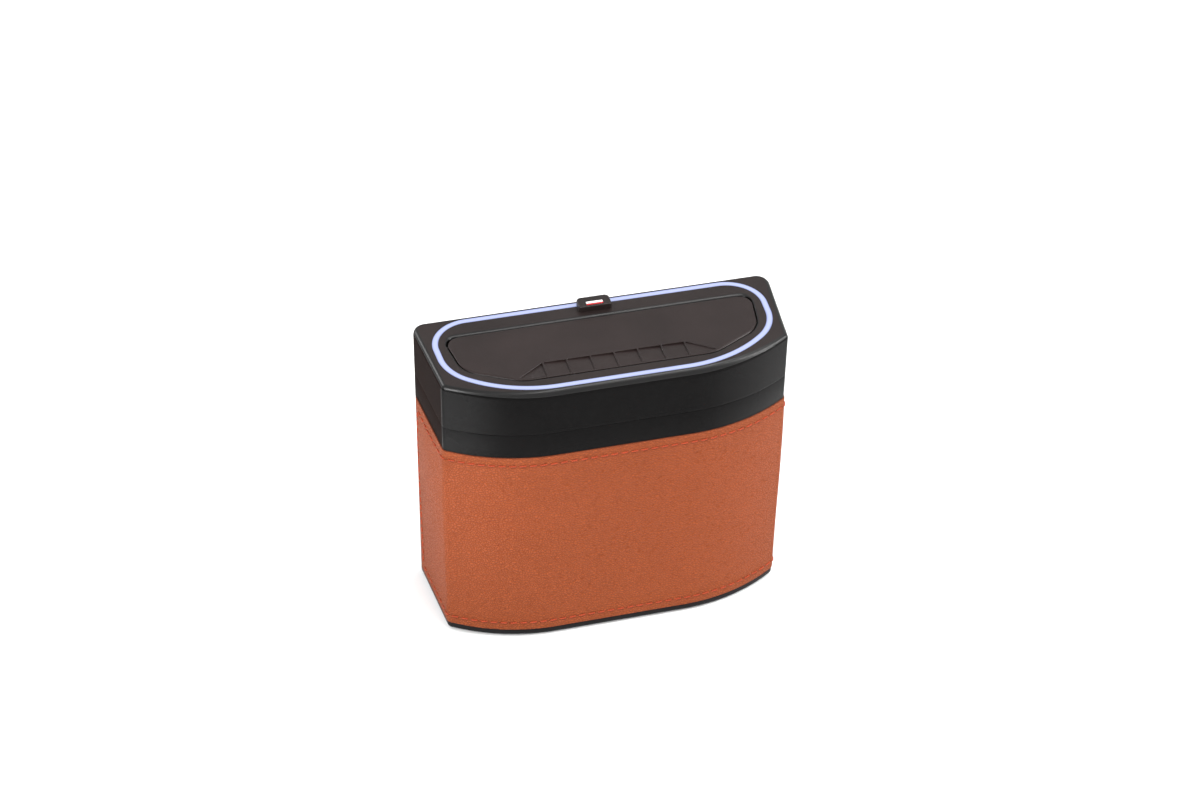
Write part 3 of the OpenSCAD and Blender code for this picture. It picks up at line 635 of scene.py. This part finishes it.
def dress_walls(obj, rows, top=None):
    """The walls' dull plastic, duller still on the leaning sides, whose browner colour is a painted
    warm reflection. The cover is glossier from row top[0] on, with the flat top's plastic between
    rows top[1] and top[2]; the top's lighter brown beside the walls' near black is painted light
    and shade on one plastic."""
    for look in ("cover_black", "top_black", "flank_black", "edge_black"):
        obj.data.materials.append(LOOKS[look])
    _, flat, flank, edge = range(4)
    y = body_line(BLACK_OUT)[:, 1]
    y = (y + np.roll(y, -1)) / 2
    # The leaning sides get the browner copy, a painted warm reflection
    index = np.tile(np.where((y > CORNER_Y + 2) & (y < BACK_Y - 5), flank, 0), rows)
    if top:
        index[top[0] * len(y):] = edge
        index[top[1] * len(y):top[2] * len(y)] = flat
    obj.data.polygons.foreach_set("material_index", index.astype(np.int32))


def collar_shell():
    """The collar above the leather, with the lip inside that the cover stands round."""
    round_r, lip = 0.4, SEAM_Z + LIP_H
    rows = foot_rows(WRAP_TOP)
    rows += [at(body_line(BLACK_OUT + EDGE_R * a), SEAM_Z - EDGE_R * (1 - b))
             for a, b in quarter(4)]
    rows.append(at(body_line(LIP_OUT), SEAM_Z))
    rows += [at(body_line(LIP_OUT + round_r * a), lip - round_r * (1 - b)) for a, b in quarter(3)]
    rows += [at(body_line(LIP_IN - round_r * (1 - s)), lip - round_r * (1 - c))
             for s, c in quarter_turn(3)]
    rows += [at(body_line(d), z) for d, z in (
        (LIP_IN, SEAM_Z - 2), (BUCKET_IN, SEAM_Z - 2), (BUCKET_IN, WRAP_TOP + COLLAR_LAP),
        (WRAP_T, WRAP_TOP + COLLAR_LAP), (WRAP_T, WRAP_TOP))]
    obj = shell("collar_shell", rows, closed=True)
    dress_walls(obj, len(rows))
    return obj


piece(collar_shell(), "bin", "cover_black", "rim_collar")


def cover_shell():
    """The cover: its shoulder widens over the bends of the front, its top has the ring's channel
    and the flap's opening, and it is open below."""
    base = body_line(BLACK_OUT)
    share = np.where(base[:, 1] > CORNER_Y + 2, 0,
                     smooth((CORNER_W - abs(base[:, 0])) / (CORNER_W - FRONT_FLAT) * 1.1))
    side = EDGE_ROUND + (BACK_ROUND - EDGE_ROUND) * smooth(
        (base[:, 1] - BACK_Y + BACK_R) / (BACK_R - BLACK_OUT))
    w = side + (SHOULDER_W - EDGE_ROUND) * share
    h = side + (SHOULDER_H - EDGE_ROUND) * share
    rows = foot_rows(SEAM_Z) + [at(base, SEAM_Z + 2)]
    edge = len(rows) + 5  # The gloss starts a third of the way round the shoulder
    rows += [at(body_line(BLACK_OUT + w * a), BIN_H - h * (1 - b)) for a, b in quarter(16)]
    flat = len(rows)
    rows.append(at(body_line(BLACK_OUT + w + 0.1), BIN_H))
    half, slack, bevel = RING_W / 2, 0.05, 0.12
    rows += [at(ringed(d), z) for d, z in (
        (-half - bevel - 0.08, BIN_H), (-half - bevel, BIN_H), (-half - slack, BIN_H - bevel),
        (-half - slack, BIN_H - RING_T), (half + slack, BIN_H - RING_T),
        (half + slack, BIN_H - bevel), (half + bevel, BIN_H), (half + bevel + 0.2, BIN_H))]
    mouth = len(rows)
    reach = 2
    inner = opening(0)
    wider = opening(reach) - inner
    r = 0.5 + 1.5 * smooth((inner[:, 1] - GAP_BACK + 3) / 3)
    rows.append(at(inner + wider * ((r + 0.3) / reach)[:, None], BIN_H))
    rows += [at(inner + wider * (r * (1 - s) / reach)[:, None], BIN_H - r * (1 - c))
             for s, c in quarter_turn(7)]
    rows += [at(inner, TOP_UNDER), *(at(body_line(COVER_IN), z) for z in (TOP_UNDER, SEAM_Z))]
    obj = shell("cover_shell", rows, closed=True)
    dress_walls(obj, len(rows), (edge, flat, mouth))
    return obj


bosses = []
for side in (1, -1):
    x0, x1 = sorted((side * (FLAP_W_BACK - BOSS_IN), side * (FLAP_W_BACK + BOSS_OUT)))
    boss = soft_box("boss", (x0, HINGE_Y - BOSS_HALF, BOSS_LOW),
                    (x1, HINGE_Y + BOSS_HALF, TOP_UNDER + 0.3), 0.5)
    dress(boss, "cover_black")
    bosses.append(boss)
piece(join("cover_shell", [cover_shell()] + bosses), "cover", "cover_black", "top_cover")


def ring_guide():
    """The light ring, slightly lower along its edges, with a field that grows towards them."""
    half = RING_W / 2
    rows, rims = [at(ringed(-half), BIN_H - RING_T)], [1.0]
    for m in (-1, *np.linspace(-0.97, 0.97, 13), 1):
        drop = 0.10 * max(0, (abs(m) - 0.9) / 0.1) ** 2
        rows.append(at(ringed(half * m), BIN_H - drop - 0.005))
        rims.append(abs(m))
    rows.append(at(ringed(half), BIN_H - RING_T))
    rims.append(1.0)
    return shell("ring_guide", rows, closed=True, fields={"rim": np.repeat(rims, len(FAN.angles))})


piece(ring_guide(), "cover", "ring_light", "light_ring")


# Leather and its seams


class Path:
    """The leather's line from its right end round the front to its left end."""

    def __init__(self):
        half = BODY.half_line(0)
        x = (BODY.reach + math.sin(BODY.lean) * WRAP_Y) / math.cos(BODY.lean)
        half = np.concatenate([[(x, WRAP_Y)], half[half[:, 1] < WRAP_Y]])
        line = np.concatenate([half, half[:-1][::-1] * [-1, 1]])
        steps = np.hypot(*np.diff(line, axis=0).T)
        self.line = line
        self.marks = np.concatenate([[0], np.cumsum(steps)])
        self.length = self.marks[-1]
        way = np.diff(line, axis=0) / steps[:, None]
        way = np.concatenate([way[:1], way[:-1] + way[1:], way[-1:]])
        way /= np.hypot(*way.T)[:, None]
        self.outward = np.stack([-way[:, 1], way[:, 0]], 1)

    def at(self, s):
        """Point and outward direction at distance s along the line."""
        p, n = (np.stack([np.interp(s, self.marks, values[:, k]) for k in (0, 1)], -1)
                for values in (self.line, self.outward))
        return p, n / np.linalg.norm(n, axis=-1, keepdims=True)


PATH = Path()
SIDE_STOP = BODY.half_line(0)[BODY.back_steps + 1, 1]
END_IN = STITCH_EDGE - 1
LEVELS = (STITCH_EDGE, WRAP_H - STITCH_EDGE)
ENDS = (END_IN, PATH.length - END_IN)
count = int((PATH.length - 2 * END_IN) // STITCH_PITCH)
first = (PATH.length - count * STITCH_PITCH) / 2
LEVEL_STITCHES = [first + (i + 0.5) * STITCH_PITCH for i in range(count)]
count = int((WRAP_H - 2 * STITCH_EDGE) // STITCH_PITCH)
first = STITCH_EDGE + STITCH_PITCH / 2
END_STITCHES = [first + i * STITCH_PITCH + STITCH_LEN / 2 for i in range(count)]


def fade(t):
    return np.sin(PI * np.clip(t, 0, 1)) ** 0.8


def swell(y, t):
    """How far the leather stands off the leaning sides, at share t of its height."""
    run = WRAP_Y - SIDE_STOP + 4
    return WRAP_SWELL * np.where(y > SIDE_STOP - 4, fade((WRAP_Y - y) / run), 0) * fade(t**2.2)


def stitch_row(run, across, centres):
    """A row of stitches at distances run along it and across it: distance to the nearest stitch's
    middle, its wave, the groove with its holes, and the holes alone, all within the row's ends."""
    k = np.clip(np.round((run - centres[0]) / STITCH_PITCH), 0, len(centres) - 1)
    along = run - (centres[0] + k * STITCH_PITCH)
    wave = np.cos(2 * PI * along / STITCH_PITCH)
    groove = np.exp(-(across / 0.85) ** 2) * (0.16 + 0.16 * wave)
    hole = np.exp(-((abs(along) - STITCH_LEN / 2 - 0.1) / 0.42) ** 2 - (across / 0.42) ** 2)
    within = (run > centres[0] - STITCH_PITCH / 2) & (run < centres[-1] + STITCH_PITCH / 2)
    return along, wave, groove + 0.42 * hole, hole, within


def relief(s, z):
    """Height of the leather above its line, the painted shade in its stitch holes and the painted
    shadow under its threads, and the edges, which its colour shows.
    """
    painted_stitch_shade = np.zeros(np.broadcast(s, z).shape)
    sunk = np.zeros_like(painted_stitch_shade)
    for level in LEVELS:
        across = z - level
        along, wave, groove, hole, within = stitch_row(s, across, LEVEL_STITCHES)
        puff = np.exp(-((abs(across) - 2.2) / 1.3) ** 2) * 0.05 * (1 - wave)
        # Painted shadow: a dark band just below each thread of the two long rows
        shade = 0.95 * np.exp(-((across + 0.8) / 0.55) ** 2)
        shade = shade * np.exp(-(along / (0.8 * STITCH_LEN / 2)) ** 4)
        sunk += np.where(within, groove - puff, 0)
        painted_stitch_shade += np.where(within, hole + shade, 0)
    for end in ENDS:
        _, _, groove, hole, within = stitch_row(z, s - end, END_STITCHES)
        sunk += np.where(within, groove, 0)
        painted_stitch_shade += np.where(within, hole, 0)
    e = np.minimum(np.minimum(s, PATH.length - s), np.minimum(z, WRAP_H - z))
    r = 0.55
    lost = r - np.sqrt(np.maximum(r * r - np.maximum(r - e, 0) ** 2, 0))
    wave = 0.07 * np.sin(s / 17.0 + 1.3 * np.sin(z / 31.0)) * np.sin(z / 23.0 + 0.6)
    wave *= np.clip((e - 10) / 12, 0, 1)
    edge = np.clip(1 - e / 0.5, 0, 1) * 0.8
    return wave - sunk - lost, np.clip(painted_stitch_shade, 0, 1) * 0.85, edge


def both_ends(marks, length, widest):
    """Marks from both ends of a length, with even steps of at most widest between them."""
    fixed = marks + [length - v for v in marks[::-1]]
    out = [fixed[0]]
    for a, b in zip(fixed, fixed[1:]):
        n = max(1, math.ceil((b - a) / widest - 1e-6))
        out += [a + (b - a) * (i + 1) / n for i in range(n)]
    return np.array(out)


def leather_sheet():
    """The leather as a closed sheet, finer at its edges and along its stitches."""
    edge = [0, 0.04, 0.14, 0.3, 0.55, 1.0]
    seam, end = ([-d for d in half[::-1]] + [0] + half for half in (
        [0.2, 0.45, 0.7, 1.0, 1.5, 2.2, 3.4], [0.2, 0.45, 0.8, 1.3, 2.2]))
    z = both_ends(edge + [STITCH_EDGE + d for d in seam], WRAP_H, 3.2)
    s = both_ends(edge + [END_IN + d for d in end], PATH.length, 0.62)
    grid_s, grid_z = np.meshgrid(s, z)
    p, n = PATH.at(grid_s)
    out, painted_stitch_shade, rim = relief(grid_s, grid_z)
    out = out + swell(p[..., 1], grid_z / WRAP_H)
    outer = np.dstack([p + n * out[..., None], BAND_Z + grid_z]).reshape(-1, 3)
    p, n = PATH.at(s)
    back = [at(p - n * (WRAP_T - 0.02), v) for v in (BAND_Z, WRAP_TOP)]
    cols, rows = len(s), len(z)
    i, j = np.meshgrid(np.arange(cols - 1), np.arange(rows - 1))
    a = (j * cols + i).ravel()
    faces = np.stack([a, a + cols, a + cols + 1, a + 1], 1).tolist()
    low = rows * cols
    high = low + cols
    i = np.arange(cols - 1)
    top = low - cols + i
    faces += strip_faces(0, low, cols)
    faces += np.stack([top + 1, top, high + i, high + i + 1], 1).tolist()
    faces += strip_faces(low, high, cols)
    faces.append([j * cols for j in range(rows)][::-1] + [low, high])
    faces.append([j * cols + cols - 1 for j in range(rows)] + [high + cols - 1, high - 1])
    pad = np.ones(2 * cols)
    return make_mesh("leather_sheet", np.concatenate([outer] + back), faces, 60, {
        "painted_stitch_shade": np.concatenate([painted_stitch_shade.ravel(), 0 * pad]),
        "edge": np.concatenate([rim.ravel(), pad])})


piece(leather_sheet(), "bin", "leather_tan", "leather_wrap")


def seams():
    """All the stitches: threads that leave one hole, lie on the leather and dip into the next."""
    thread_r, past, lean, phases = 0.60, 0.15, 0.16, 6
    u = np.linspace(-1, 1, 13)
    turn = np.linspace(0, 2 * PI, 10, endpoint=False)
    length = STITCH_LEN / 2 + past
    rise = 0.34 * (1 - np.abs(u) ** 5) - 0.42 * np.abs(u) ** 9 - 0.24
    size = (thread_r * (1 - 0.30 * np.abs(u) ** 4))[:, None, None]
    points, faces, along = [], [], []
    rng = np.random.default_rng(7)

    def spot(s, z):
        p, n = PATH.at(np.array([s]))
        xy = p[0] + n[0] * swell(p[:, 1], np.array([z / WRAP_H]))[0]
        return np.array([*xy, BAND_Z + z]), np.array([*n[0], 0.0])

    stitches = [(s, z, 1, 0) for z in LEVELS for s in LEVEL_STITCHES]
    stitches += [(s, z, 0, 1) for s in ENDS for z in END_STITCHES]
    for k, (s, z, ds, dz) in enumerate(stitches):
        centre, outward = spot(s, z)
        way = spot(s + ds, z + dz)[0] - spot(s - ds, z - dz)[0]
        way = way / np.linalg.norm(way)
        side = np.cross(outward, way)
        tilt = lean + rng.uniform(-0.05, 0.05)
        spine = centre + np.outer(u * length, way) + np.outer(rise, outward)
        spine += np.outer(tilt * u, side)
        ring = size * (np.cos(turn)[:, None] * side + 0.86 * np.sin(turn)[:, None] * outward)
        points.append((spine[:, None, :] + ring).reshape(-1, 3))
        along.append(np.repeat(u * length + rng.uniform(0, phases), len(turn)))
        faces += ring_faces(len(turn), len(u), first=k * len(u) * len(turn), caps=("low", "high"))
    return make_mesh("wrap_threads", np.concatenate(points), faces, 70, {
        "along": np.concatenate(along), "around": np.tile(turn, len(u) * len(stitches))})


piece(seams(), "bin", "thread_tan", "wrap_stitching")


# Lid flap


def grip_cells():
    """The grip's sunk steps, and its two tips: the outline and the floor's height of each."""
    line, base = 0.35, GAP_FRONT + HALF_GAP
    y0, y1 = base + 0.55, GAP_FRONT + GRIP_BACK
    tip_x, tip_y = FLAP_W_FRONT + 1.7, GAP_FRONT + 3.4
    half = tip_x - GRIP_TIP
    pitch = half / 3
    cells = []
    for i in range(-3, 3):
        a, b = i * pitch + line, (i + 1) * pitch - line
        cells.append(([(a, y0), (b, y0), (b, y1), (a, y1)], a, b))
    cells.append(([(half + line, y0), (tip_x, tip_y), (half + line, y1)], half, tip_x))
    cells.append(([(-half - line, y0), (-half - line, y1), (-tip_x, tip_y)], -tip_x, -half))
    fall = GRIP_DEPTH / (y1 - base)
    out = []
    for corners, a, b in cells:
        slope = 0.7 * GRIP_DEPTH / (b - a)

        def floor(p, a=a, slope=slope):
            return -np.maximum(fall * (p[:, 1] - base) + slope * (p[:, 0] - a), 0.02)

        out.append((corners, floor))
    return out


def inset_polygon(corners, d):
    """A convex anticlockwise polygon with each edge moved in by d."""
    out = []
    for before, p, after in triples(corners):
        n1, n2 = (np.array([-e[1], e[0]]) / np.hypot(*e) for e in (p - before, after - p))
        out.append(p + d * (n1 + n2) / (1 + n1 @ n2))
    return np.array(out)


def soft_corners(corners, r):
    """Each corner of a convex polygon turned into a small arc."""
    out = []
    for a, b, c in triples(corners):
        u, v = (a - b) / np.hypot(*(a - b)), (c - b) / np.hypot(*(c - b))
        half = math.acos(max(-1, min(1, u @ v))) / 2
        reach = min(r / math.tan(half), 1.2)
        p, q = b + u * reach, b + v * reach
        for t in np.linspace(0, 1, 5):
            out.append((1 - t) ** 2 * p + 2 * t * (1 - t) * b + t * t * q)
    return np.array(out)


def inside(c, outline):
    """Whether a point lies in a convex anticlockwise outline."""
    e = np.roll(outline, -1, 0) - outline
    v = np.array([c.x, c.y]) - outline
    side = e[:, 0] * v[:, 1] - e[:, 1] * v[:, 0]
    return bool((side > -1e-7).all())


def flap_top():
    """The flap with its rounded edge, its top round the sunk steps, and the steps."""
    fan = Fan((0, -2), [FLAP_LINE, rounded(FLAP_PLAN, FLAP_RADII, 3)], 1.2, 0.1)
    low = BIN_H - FLAP_T

    def line(d):
        return fan.cast(rounded(FLAP_PLAN, FLAP_RADII, HALF_GAP + d))

    outer = line(0)
    # The edge is rounder along the front's slanting runs and sharper along its straight one
    ahead = smooth((-4 - outer[:, 1]) / 8)
    slant = ahead * smooth((np.abs(outer[:, 0]) - 65) / 8)
    straight = ahead * smooth((66 - np.abs(outer[:, 0])) / 6)
    radius = 0.5 + 1.2 * slant - 0.25 * straight

    def inset(d):
        return outer + (line(2) - outer) * (d / 2)[:, None]

    rows = [at(line(1.5), low), at(line(0.2), low), at(outer, low + 0.2)]
    rows += [at(inset(radius * a), BIN_H - radius * (1 - b)) for a, b in quarter(7)]
    rim = inset(radius + 0.15)
    rows.append(at(rim, BIN_H))
    n = len(fan.angles)
    faces = ring_faces(n, len(rows), caps=("low",))
    total = len(rows) * n
    outlines, bases = [rim], [total - n]
    for corners, floor in grip_cells():
        top = soft_corners(corners, 0.5)
        mid = soft_corners(inset_polygon(corners, 0.14), 0.42)
        bottom = soft_corners(inset_polygon(corners, 0.22), 0.36)
        outlines.append(top)
        bases.append(total)
        rows += [at(top, BIN_H), at(mid, BIN_H + np.maximum(floor(mid), -0.14)),
                 at(bottom, BIN_H + floor(bottom))]
        faces += ring_faces(len(top), 3, first=total, caps=("high",))
        total += 3 * len(top)
    flat, edges, owner = [], [], []
    for outline, base in zip(outlines, bases):
        k, m = len(flat), len(outline)
        flat += [Vector(p) for p in outline]
        owner += [base + i for i in range(m)]
        edges += [(k + i, k + (i + 1) % m) for i in range(m)]
    found = delaunay_2d_cdt(flat, edges, [], 1, 1e-6)
    source = [owner[o[0]] for o in found[3]]
    for tri in found[2]:
        c = sum((Vector(found[0][i]) for i in tri), Vector((0, 0))) / len(tri)
        if not any(inside(c, outline) for outline in outlines[1:]):
            faces.append([source[i] for i in tri])
    obj = make_mesh("flap_top", np.concatenate(rows), faces, 34)
    brink = set(owner[len(rim):])
    for e in obj.data.edges:
        if brink.issuperset(e.vertices):
            e.use_edge_sharp = True
    return obj


def flap_rib():
    """The stiffening rib under the flap, open at the hinge."""
    stop = HINGE_Y - EAR_R - 2
    low, high = BIN_H - FLAP_T - RIB_H, BIN_H - FLAP_T + 0.05
    ends = []
    for d in (0, RIB_T):
        line = rounded(FLAP_PLAN, FLAP_RADII, RIB_IN + d)
        corner = line[int(np.argmax(line[:, 0] + line[:, 1] * 0.001)), 0]
        far = line[line[:, 0] > 90]
        x = np.interp(stop, [far[:, 1].min(), GAP_BACK], [far[:, 0].min(), corner])
        right = line[(line[:, 0] > 0) & (line[:, 1] < stop)]
        right = right[np.argsort(np.arctan2(right[:, 1] + 2, right[:, 0]))]
        right = np.concatenate([right, [(x, stop)]])
        ends.append(np.concatenate([right[::-1], right * [-1, 1]]))
    m = min(len(e) for e in ends)
    share = np.linspace(0, 1, m)
    a, b = (np.stack([np.interp(share, np.linspace(0, 1, len(e)), e[:, k]) for k in (0, 1)], 1)
            for e in ends)
    c = 0.2
    mid = (a + b) / 2
    rows = [at(a, high), at(a, low + c), at(a + (mid - a) * (c / 0.7), low),
            at(b + (mid - b) * (c / 0.7), low), at(b, low + c), at(b, high)]
    starts = [k * m for k in range(len(rows))]
    faces = []
    for p, q in zip(starts, starts[1:] + starts[:1]):
        faces += strip_faces(p, q, m)
    faces += [starts, [p + m - 1 for p in starts][::-1]]
    obj = make_mesh("rib", np.concatenate(rows), faces)
    bm = bmesh.new()
    bm.from_mesh(obj.data)
    bmesh.ops.recalc_face_normals(bm, faces=bm.faces[:])
    bm.to_mesh(obj.data)
    bm.free()
    return obj


def flap_ear(side):
    """One ear that turns on its hinge pin: a rounded lug with the pin's bore."""
    n, bevel = 32, 0.25
    t = np.linspace(0, 2 * PI, n, endpoint=False) + PI / 4
    top = BIN_H - FLAP_T + 0.05 - HINGE_Z
    circle = np.stack([np.cos(t), np.sin(t)], 1)
    outer, bore = EAR_R * circle, (PIN_R + 0.07) * circle
    up = outer[:, 1] > 0
    outer[up, 0] = np.copysign(EAR_R, outer[up, 0])
    outer[up, 1] = np.minimum(outer[up, 1] * 1.4, top)
    x0, x1 = sorted((side * (FLAP_W_BACK - 9), side * (FLAP_W_BACK - HALF_GAP - 0.1)))
    rows = [np.column_stack([np.full(n, x), ring * grow + (HINGE_Y, HINGE_Z)])
            for x, ring, grow in ((x0, bore, 1), (x0, outer, 0.93), (x0 + bevel, outer, 1),
                                  (x1 - bevel, outer, 1), (x1, outer, 0.93), (x1, bore, 1))]
    return shell("ear", rows, closed=True)


flap = join("flap_top", [flap_top(), flap_rib(), flap_ear(1), flap_ear(-1)])
piece(flap, "flap", "flap_black", "lid_flap")


# Switch block and its button


def switch_shell():
    """The switch block, hollow below, with the button's window."""
    slack, round_r, brim = 0.15, 0.7, 0.15
    y0, y1 = BUTTON_Y - BUTTON_D / 2 - slack, BUTTON_Y + BUTTON_D / 2 + slack

    def block_line(d):
        return box_line(SWITCH_W / 2, SWITCH_FRONT, SWITCH_BACK, [1.2, 3, 3, 1.2], d)

    def window_line(d):
        return box_line((BUTTON_W + 2 * slack) / 2, y0, y1, [0.3 + max(-d, 0)] * 4, d)

    fan = Fan((0, BUTTON_Y), [block_line(0), window_line(0)], 3, 0.4)

    def outer(d):
        return fan.cast(block_line(d))

    def inner(d):
        return fan.cast(window_line(d))

    top = BIN_H + SWITCH_H
    under = top - SWITCH_WALL
    rows = [at(outer(SWITCH_WALL), BIN_H), at(outer(0), BIN_H)]
    rows += [at(outer(round_r * a), top - round_r * (1 - b)) for a, b in quarter(7)]
    rows += [at(outer(round_r + 0.15), top), at(inner(-0.25), top)]
    rows += [at(inner(-brim * (1 - s)), top - brim * (1 - c)) for s, c in quarter_turn(3)]
    rows += [at(inner(0), under), at(outer(SWITCH_WALL), under)]
    return shell("switch_shell", rows, closed=True, sharp=34)


piece(switch_shell(), "cover", "switch_black", "switch_housing")


def button_box(name, grow, y0, y1, z0, z1, r):
    """A box as wide as the button and grow more on each side, from BUTTON_Y + y0 to + y1."""
    x = BUTTON_W / 2 + grow
    return soft_box(name, (-x, BUTTON_Y + y0, z0), (x, BUTTON_Y + y1, z1), r)


half_d = BUTTON_D / 2
floor_z, top_z = BIN_H + SWITCH_H - SWITCH_WALL, BIN_H + SWITCH_H + 0.2
button = join("button_cap", [
    button_box("button_cap", 0, -half_d + STRIPE_D + 0.02, half_d, floor_z, top_z, 0.16),
    button_box("foot", 1, -1, BUTTON_D - 1, floor_z - 1.3, floor_z - 0.01, 0.2),
    button_box("ledge", 0, -half_d, half_d, floor_z - 0.1, floor_z + 0.19, 0.05),
    turned("stem", [(1.0, STEM_Z, 0), (1.2, STEM_Z + 0.18, 0), (1.2, floor_z - 0.5, 0)],
           (0, BUTTON_Y, 0), (0, 0, 1), 40),
])
piece(button, "button", "button_white", "light_button")
stripe = button_box("button_bar", 0, -half_d, -half_d + STRIPE_D, top_z - 1.2, top_z, 0.16)
piece(stripe, "button", "stripe_red", "button_stripe")


# Hanger


def hook_piece():
    """The hanger: a plate bent over into a hook, with rounded corners at its foot and tip."""
    y0, y1 = HOOK_Y, HOOK_Y + HOOK_T
    y2 = y1 + HOOK_GAP
    y3 = y2 + HOOK_T
    bottom, tip = HOOK_TOP - HOOK_H, HOOK_TOP - HOOK_LEN
    inner_r, outer_r, near = 1.5, 3, 1e-6
    inner_z = HOOK_TOP - HOOK_T - inner_r
    profile = [
        (y0, bottom), (y1, bottom), *arc((y1 + inner_r, inner_z), inner_r, 180, 90, 6),
        *arc((y2 - inner_r, inner_z), inner_r, 90, 0, 6), (y2, tip), (y3, tip),
        *arc((y3 - outer_r, HOOK_TOP - outer_r), outer_r, 0, 90, 8), (y0, HOOK_TOP),
    ]
    bm = bmesh.new()
    left, right = ([bm.verts.new(Vector((x, y, z)) * MM) for y, z in profile]
                   for x in (-HOOK_W / 2, HOOK_W / 2))
    n = len(profile)
    bm.faces.new(left)
    bm.faces.new(right[::-1])
    for i in range(n):
        bm.faces.new([left[i], right[i], right[(i + 1) % n], left[(i + 1) % n]])
    bmesh.ops.recalc_face_normals(bm, faces=bm.faces[:])

    def sharp_edges():
        return [e for e in bm.edges if e.calc_face_angle(0) > math.radians(40)]

    def at_end(e):
        a, b = (v.co for v in e.verts)
        level = abs(a.x - b.x) < near and abs(a.z - b.z) < near
        return level and any(abs(a.z - z * MM) < near for z in (bottom, tip))

    round_edges(bm, [e for e in sharp_edges() if at_end(e)], 4, 8)
    round_edges(bm, sharp_edges(), 0.4, 3)
    return from_bmesh("hook_piece", bm)


piece(hook_piece(), "bin", "inner_black", "hanger_hook")


def pan_screws(name, places, axis, head_r, head_t, shank_r, shank):
    """Pan-head screws with hexagonal sockets, their heads towards axis."""
    socket_r = head_r * 0.5
    profile = [
        (shank_r * 0.6, -shank, 0), (shank_r, -shank + 0.4, 0), (shank_r, 0, 0), (head_r, 0, 0),
        (head_r, head_t * 0.35, 0), (head_r * 0.96, head_t * 0.62, 0),
        (head_r * 0.86, head_t * 0.85, 0), (head_r * 0.7, head_t, 0),
        (socket_r * 1.12, head_t, 0.6), (socket_r, head_t * 0.93, 1), (socket_r, head_t * 0.35, 1),
    ]
    return join(name, [turned(name, profile, place, axis, 48) for place in places])


hooks = [(x, HOOK_Y + HOOK_T, SCREW_Z) for x in (-SCREW_X, SCREW_X)]
piece(pan_screws("hook_screws", hooks, (0, 1, 0), 2 * SCREW_R, 1.6, SCREW_R, 4.4),
      "bin", "screw_steel", "hanger_screws")
lows = [(x, y, FRAME_SCREW_Z) for x, y in FRAME_SCREWS]
piece(pan_screws("low_screws", lows, (0, 0, -1), 1.9, 1.3, 0.95, 4.6),
      "cover", "screw_steel", "frame_screws")


# CAD nodes that stay get their materials here


for look, names in {
    "pad_rubber": ("anti_slip_pad", "lid_bumpers"),
    "inner_black": ("bag_ring", "lid_frame", "tact_switch", "battery_door"),
    "screw_steel": ("hinge_pin_left", "hinge_pin_right"),
    "magnet_steel": ("keeper_magnets", "flap_magnets"),
    "board_green": ("led_board",), "led_white": ("leds",),
    "battery_blue": ("battery",), "lead_red": ("battery_leads",),
}.items():
    for name in names:
        dress(NODES[name], look)


# Floor and light, in metres


def floor_sheet():
    """A wide pale floor that curves up far behind into a backdrop."""
    half, far, r, high = 20.0, 12.0, 1.5, 10.0
    line = [(-half, 0.0), (far, 0.0)]
    line += [(far + r * math.sin(t), r - r * math.cos(t)) for t in np.linspace(0.1, PI / 2, 12)]
    line.append((far + r, high))
    points = [(x / MM, y / MM, z / MM) for y, z in line for x in (-half, half)]
    faces = [(2 * k, 2 * k + 1, 2 * k + 3, 2 * k + 2) for k in range(len(line) - 1)]
    obj = make_mesh("floor_sheet", points, faces, 60)
    k = Look("floor_pale", Specular_IOR_Level=0.1)
    cloud = k.noise(0.8, 2)
    k.set(Base_Color=k.blend(cloud, (0.89, 0.89, 0.89), (0.91, 0.91, 0.91)),
          Roughness=k.range(cloud, 0.3, 0.7, 0.85, 0.95))
    obj.data.materials.append(k.mat)
    return obj


floor_sheet()
world = bpy.data.worlds.new("studio")
world.use_nodes = True
backdrop = world.node_tree.nodes["Background"]
backdrop.inputs["Color"].default_value = (1, 1, 1, 1)
backdrop.inputs["Strength"].default_value = 0.85
bpy.context.scene.world = world
bpy.context.scene.view_settings.view_transform = "Standard"


# Broad lamps, aimed at the bin's middle
for name, place, width, height, power in (
        ("left_strip", (-1.15, -0.85, 0.75), 0.12, 1.4, 21),
        ("right_strip", (1.10, -0.72, 0.75), 0.12, 1.4, 14),
        ("top", (0.45, -0.15, 1.9), 2.4, 0.22, 22),
        ("rear_left", (-0.95, 1.3, 1.15), 0.7, 0.7, 9),
        ("right_top", (1.3, -0.25, 1.05), 0.45, 0.45, 9)):
    lamp = bpy.data.lights.new(name, "AREA")
    lamp.shape = "RECTANGLE"
    lamp.size, lamp.size_y, lamp.energy = width, height, power
    obj = show(name, lamp)
    obj.location = place
    obj.rotation_euler = (Vector((0, 0, 0.1)) - Vector(place)).to_track_quat("-Z", "Y").to_euler()

# Narrow lamps straight above patches of floor, which the bin's walls mirror
for name, x, y, power in (("left_glow", -0.30, -0.18, 320), ("right_glow", 0.30, -0.17, 90)):
    lamp = bpy.data.lights.new(name, "SPOT")
    lamp.energy = power
    lamp.spot_size = math.radians(17)
    lamp.spot_blend = 1.0
    lamp.shadow_soft_size = 0.03
    show(name, lamp).location = (x, y, 1.2)
